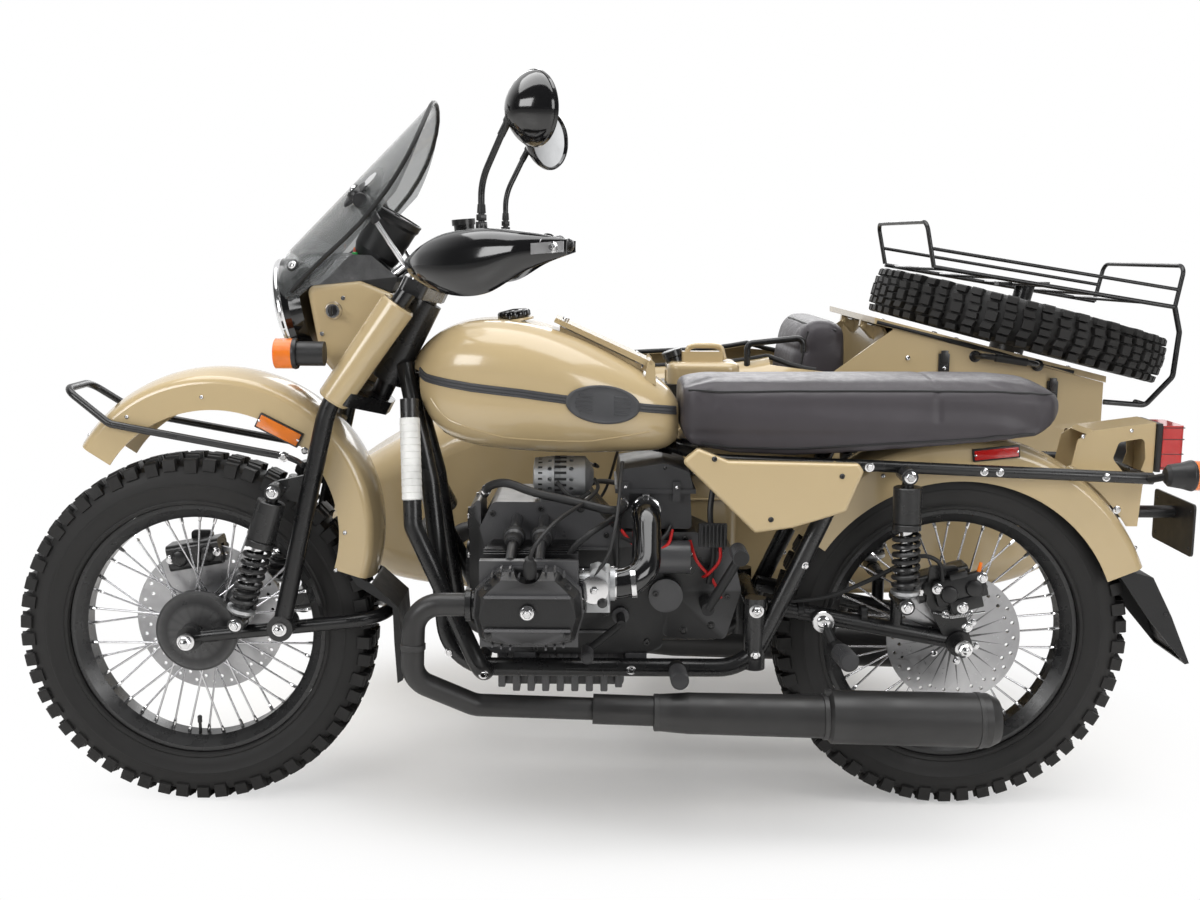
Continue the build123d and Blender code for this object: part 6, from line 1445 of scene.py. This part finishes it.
b.box(on_caliper(0, 0, 0), (98, 16, 50), 0, 5, tilt)
b.box(on_caliper(-4, 6, -30), (62, 12, 26), 0, 4, tilt)
b.box(on_caliper(0, 4, 28), (34, 22, 12), 0, 3, tilt)
for e in (-1, 1):
    b.turned(on_caliper(e * 24, 8, -4), Y, [(0, 16.5), (3, 16.5), (6, 14.8), (7, 11.8), (7, 0)], 28, 0)
    b.bolt(on_caliper(e * 43, 8, 12), Y, 6.8, 6, 1)
b.bolt(on_caliper(6, 12, -34), Y, 7.2, 6, 1)
# the bleed nipple's cap takes the amber lens finish, whose faint emission makes it glow though it is no lamp: painted
# light
b.bar([on_caliper(-40, 4, 24), on_caliper(-48, 4, 40)], [4.2, 3], 10, 2)
b.bolt(at(-15, 97, 375), Y, 6.8, 6, 1)
b.bolt(at(26, 97, 400), Y, 6, 5, 1)
b.hose([on_caliper(30, 6, 24), (44, 112, 506), (84, 112, 520), (150, 100, 476), (250, 101, 430), (330, 101, 424)],
       4.2, 10, 3)
for x, z in ((174, 396), (294, 404)):
    b.collar(at(x, 84, z), X, 16.2, 17.2, 1, 12, 28)
b.object("rear_caliper_body", [moulded("caliper_black", (0.008, 0.008, 0.0085), 0.34, 300, 0.1), CHROME, AMBER, RUBBER],
         "chassis")


# ------------------------------------------------------------------ sidecar trim
def lid_top(x, depth=0.0):
    return 931.0 + (x - 77) * 0.245 - depth


def trunk_half(x):
    return 281.5 if x >= -120 else 281.5 + (244 - 281.5) * (-120 - x) / 332


# black edging along both sides of the lid, and its screws
b = Build()
for s in SIDES:
    b.bar([at(x, SIDECAR_Y + s * (trunk_half(x) + 0.5), lid_top(x, 9)) for x in range(72, -391, -18)], 5.2, 8, 0)
for s in SIDES:
    for x in (-60, -250, -370):
        q, n = snap("trunk_lid", x, SIDECAR_Y + s * (trunk_half(x) - 14), lid_top(x), Z)
        b.turned(q - n * 0.0005, n, [(0, 6.5), (1, 6.5), (2.6, 4.8), (3, 1.5)], 16, 1)
b.object("lid_edging", [RUBBER, CHROME], "trunk")
# latches and the carrying handle on the trunk's near side, bolts
b = Build()
handle = [at(-150, -412, 846), at(-160, -374, 850), at(-276, -376, 833), at(-292, -418, 826)]
b.hose(handle, 6.5, 14, 0, 0.3)
for p in (handle[0], handle[3]):
    b.turned(p - Y * 0.006, Y, [(0, 13), (8, 13), (10, 10)], 20, 0)
b.bar([at(-184, -374.5, 846.5), at(-254, -375.6, 836.4)], 8.8, 16, 1)
for x in (-80, -330):
    q, _ = snap("sidecar_body", x, -400, lid_top(x, 60), Y)
    b.box(q + Y * 0.003, (24, 8, 40), 2, 2)
    b.box(q + Y * 0.008 + Z * 0.012, (16, 6, 30), 2, 2)
    b.turned(q + Y * 0.007 - Z * 0.012, Y, [(0, 4), (4, 4), (5, 2.5)], 12, 3)
b.object("trunk_handle", [BLACK, RUBBER, BLACK, CHROME], "chassis")
SILL = (900, 760, 600, 420, 260)
fasten("sidecar_fasteners", [
    ("sidecar_body", "dome", 6, 0, "N", [(0, -400, 842), (-110, -400, 690), (-300, -400, 690)]),
    ("sidecar_body", "dome", 5, 0, "N", [(x, -400, 400) for x in SILL]),
    ("sidecar_body", "dome", 5, 0, "F", [(x, -975, 400) for x in SILL]),
    ("sidecar_fender", "dome", 4.5, 0, "F", [(60, -1226, 640), (440, -1226, 640)]),
    ("sidecar_frame", "hex", 6, 0, "N", [(x, y, 268) for x in (-240, 470, 940) for y in (-538, -778)]),
    ("sidecar_frame", "nut", 11, 0, "F", [(LEAD, -1216, TYRE_R)]),
], [CHROME, BLACK])

# rubber beading round the cockpit's mouth
mouth = [(x, -477) for x in range(190, 690, 20)] + [(699, -500), (703, -540)]
mouth += [(703, y) for y in range(-560, -830, -30)] + [(703, -835), (699, -875)]
mouth += [(x, -898) for x in range(680, 180, -20)]
b = Build()
b.bar(evened([snap("sidecar_body", x, y, 860, Z, 0.14)[0] + Z * 0.001 for x, y in mouth]), 6, 10, 0)
b.object("cockpit_beading", [RUBBER], "chassis")

# ribbed floor mat
b = Build()
b.box(at(800, SIDECAR_Y, 299.5), (300, 400, 5), 0, 1.5)
for k in range(19):
    b.box(at(800, SIDECAR_Y - 180 + k * 20, 303), (290, 5, 3), 0, 0.8)
b.object("floor_mat", [RUBBER], "chassis")

# pressed cross and seams on the can, its cap, the straps' buckles
b = Build()
CAN_X, CAN_Y = 461.0, -330.0


def on_can(x, y, z):
    return at(CAN_X + x, CAN_Y + y, z)


for s in SIDES:
    y = s * 65
    for e in SIDES:
        b.bar([on_can(-50 * e, y, 690), on_can(0, y + s * 0.6, 625), on_can(50 * e, y, 560)], [2.8, 3.6, 2.8], 10, 0)
    corners = ((-58, 700), (58, 700), (58, 548), (-58, 548), (-58, 700))
    b.hose([on_can(x, y, z) for x, z in corners], 2.4, 8, 0, 0.12, 5)
for x in (77, -77):
    b.bar([on_can(x, 0, 430), on_can(x, 0, 820)], 2.8, 8, 0)
b.hose([on_can(x, 0, z) for x, z in ((-48, 842), (-40, 872), (28, 872), (36, 842))], 6, 12, 0, 0.3, 6)
b.turned(on_can(58, 0, 838), Vector((0.35, 0, 1)), [(-10, 19), (10, 19), (12, 22), (24, 22), (26, 18)], 28, 1)
for z in (620, 780):
    b.box(on_can(20, 75, z), (44, 6, 36), 1, 1.5)
    b.box(on_can(20, 78.5, z), (6, 3, 30), 2, 1)
b.object("can_details", [TAN, BLACK, CHROME], "chassis")


# ------------------------------------------------------------------ floor, light and camera
floor = add_mesh("floor", [(-14, -14, 0), (14, -14, 0), (14, 14, 0), (-14, 14, 0)], [[0, 1, 2, 3]], [FLOOR], None)
floor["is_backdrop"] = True
# the floor fades with distance into the white behind
tree = FLOOR.node_tree
stretched = shader(tree, "Mapping", {"Vector": shader(tree, "TexCoord").outputs["Object"], "Scale": (0.74, 1.2, 1)})
far = shader(tree, "VectorMath", {0: stretched.outputs["Vector"]}, operation="LENGTH")
fade = shader(tree, "MapRange", {"Value": far.outputs["Value"], "From Min": 0.5, "From Max": 1.0, "To Min": 0.22},
              interpolation_type="SMOOTHSTEP")
seen = shader(tree, "LightPath").outputs["Is Camera Ray"]
share = shader(tree, "Math", {0: fade.outputs["Result"], 1: seen}, operation="MULTIPLY")
white = shader(tree, "Emission", {"Strength": 1.0})
mixed = shader(tree, "MixShader", {"Fac": share.outputs[0], 1: tree.nodes["Principled BSDF"].outputs["BSDF"],
                                   2: white.outputs["Emission"]})
tree.links.new(mixed.outputs["Shader"], tree.nodes["Material Output"].inputs["Surface"])

world = bpy.data.worlds.new("studio")
SC.world = world
world.use_nodes = True
tree = world.node_tree
soft = tree.nodes["Background"]
plug(tree, soft, {"Color": (1, 1, 1, 1), "Strength": 0.42})
# the backdrop is white to the camera and through glass; gloss sees the studio dark on the camera's side
height = shader(tree, "SeparateXYZ", {"Vector": shader(tree, "TexCoord").outputs["Generated"]}).outputs["Y"]
dim = shader(tree, "MapRange", {"Value": height, "From Min": -0.55, "From Max": 0.25, "To Min": 1.0, "To Max": 0.10},
             interpolation_type="SMOOTHSTEP")
plain = shader(tree, "Background", {"Color": (1, 1, 1, 1), "Strength": 1.0})
glossy = shader(tree, "Background", {"Color": (1, 1, 1, 1), "Strength": dim.outputs["Result"]})
rays = shader(tree, "LightPath").outputs
direct = shader(tree, "Math", {0: rays["Is Camera Ray"], 1: rays["Is Transmission Ray"]}, operation="MAXIMUM")
lit = shader(tree, "MixShader", {"Fac": rays["Is Glossy Ray"], 1: soft.outputs["Background"],
                                 2: glossy.outputs["Background"]})
sky = shader(tree, "MixShader", {"Fac": direct.outputs[0], 1: lit.outputs["Shader"], 2: plain.outputs["Background"]})
tree.links.new(sky.outputs["Shader"], tree.nodes["World Output"].inputs["Surface"])

for name, place, target, size, power in (
    ("top_soft", (0.2, 0.6, 3.6), (0.1, 0.2, 0.5), (4.5, 2.4), 130),
    ("key_left", (2.9, 3.6, 2.3), (0.2, 0.3, 0.6), (2.0, 1.6), 75),
    ("fill_right", (-2.8, 3.6, 1.9), (-0.1, 0.3, 0.6), (2.0, 1.8), 55),
    ("back_soft", (-0.6, -3.4, 2.6), (0, -0.3, 0.6), (3.0, 1.6), 60),
):
    lamp = bpy.data.lights.new(name, "AREA")
    lamp.shape = "RECTANGLE"
    lamp.size, lamp.size_y = size
    lamp.energy = power
    ob = bpy.data.objects.new(name, lamp)
    ob.location = place
    ob.rotation_mode = "QUATERNION"
    ob.rotation_quaternion = (Vector(target) - Vector(place)).to_track_quat("-Z", "Y")
    SC.collection.objects.link(ob)

# the camera fitted to the photograph
yaw, pitch, roll = radians(-90.2602), radians(-8.6804), radians(0.3907)
look = Vector((cos(pitch) * cos(yaw), cos(pitch) * sin(yaw), sin(pitch)))
right = look.cross(Z).normalized()
up = right.cross(look)
turn = Matrix((right * cos(roll) + up * sin(roll), up * cos(roll) - right * sin(roll), -look)).transposed()
lens_data = bpy.data.cameras.new("camera")
lens_data.lens = 1335.21 * 36 / 1200
lens_data.sensor_width = 36
lens_data.clip_end = 100
camera = bpy.data.objects.new("camera", lens_data)
camera.matrix_world = Matrix.Translation(at(691.864, 2538.196, 1081.547)) @ turn.to_4x4()
SC.collection.objects.link(camera)
SC.camera = camera
SC.view_settings.view_transform = "Standard"

lo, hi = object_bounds()
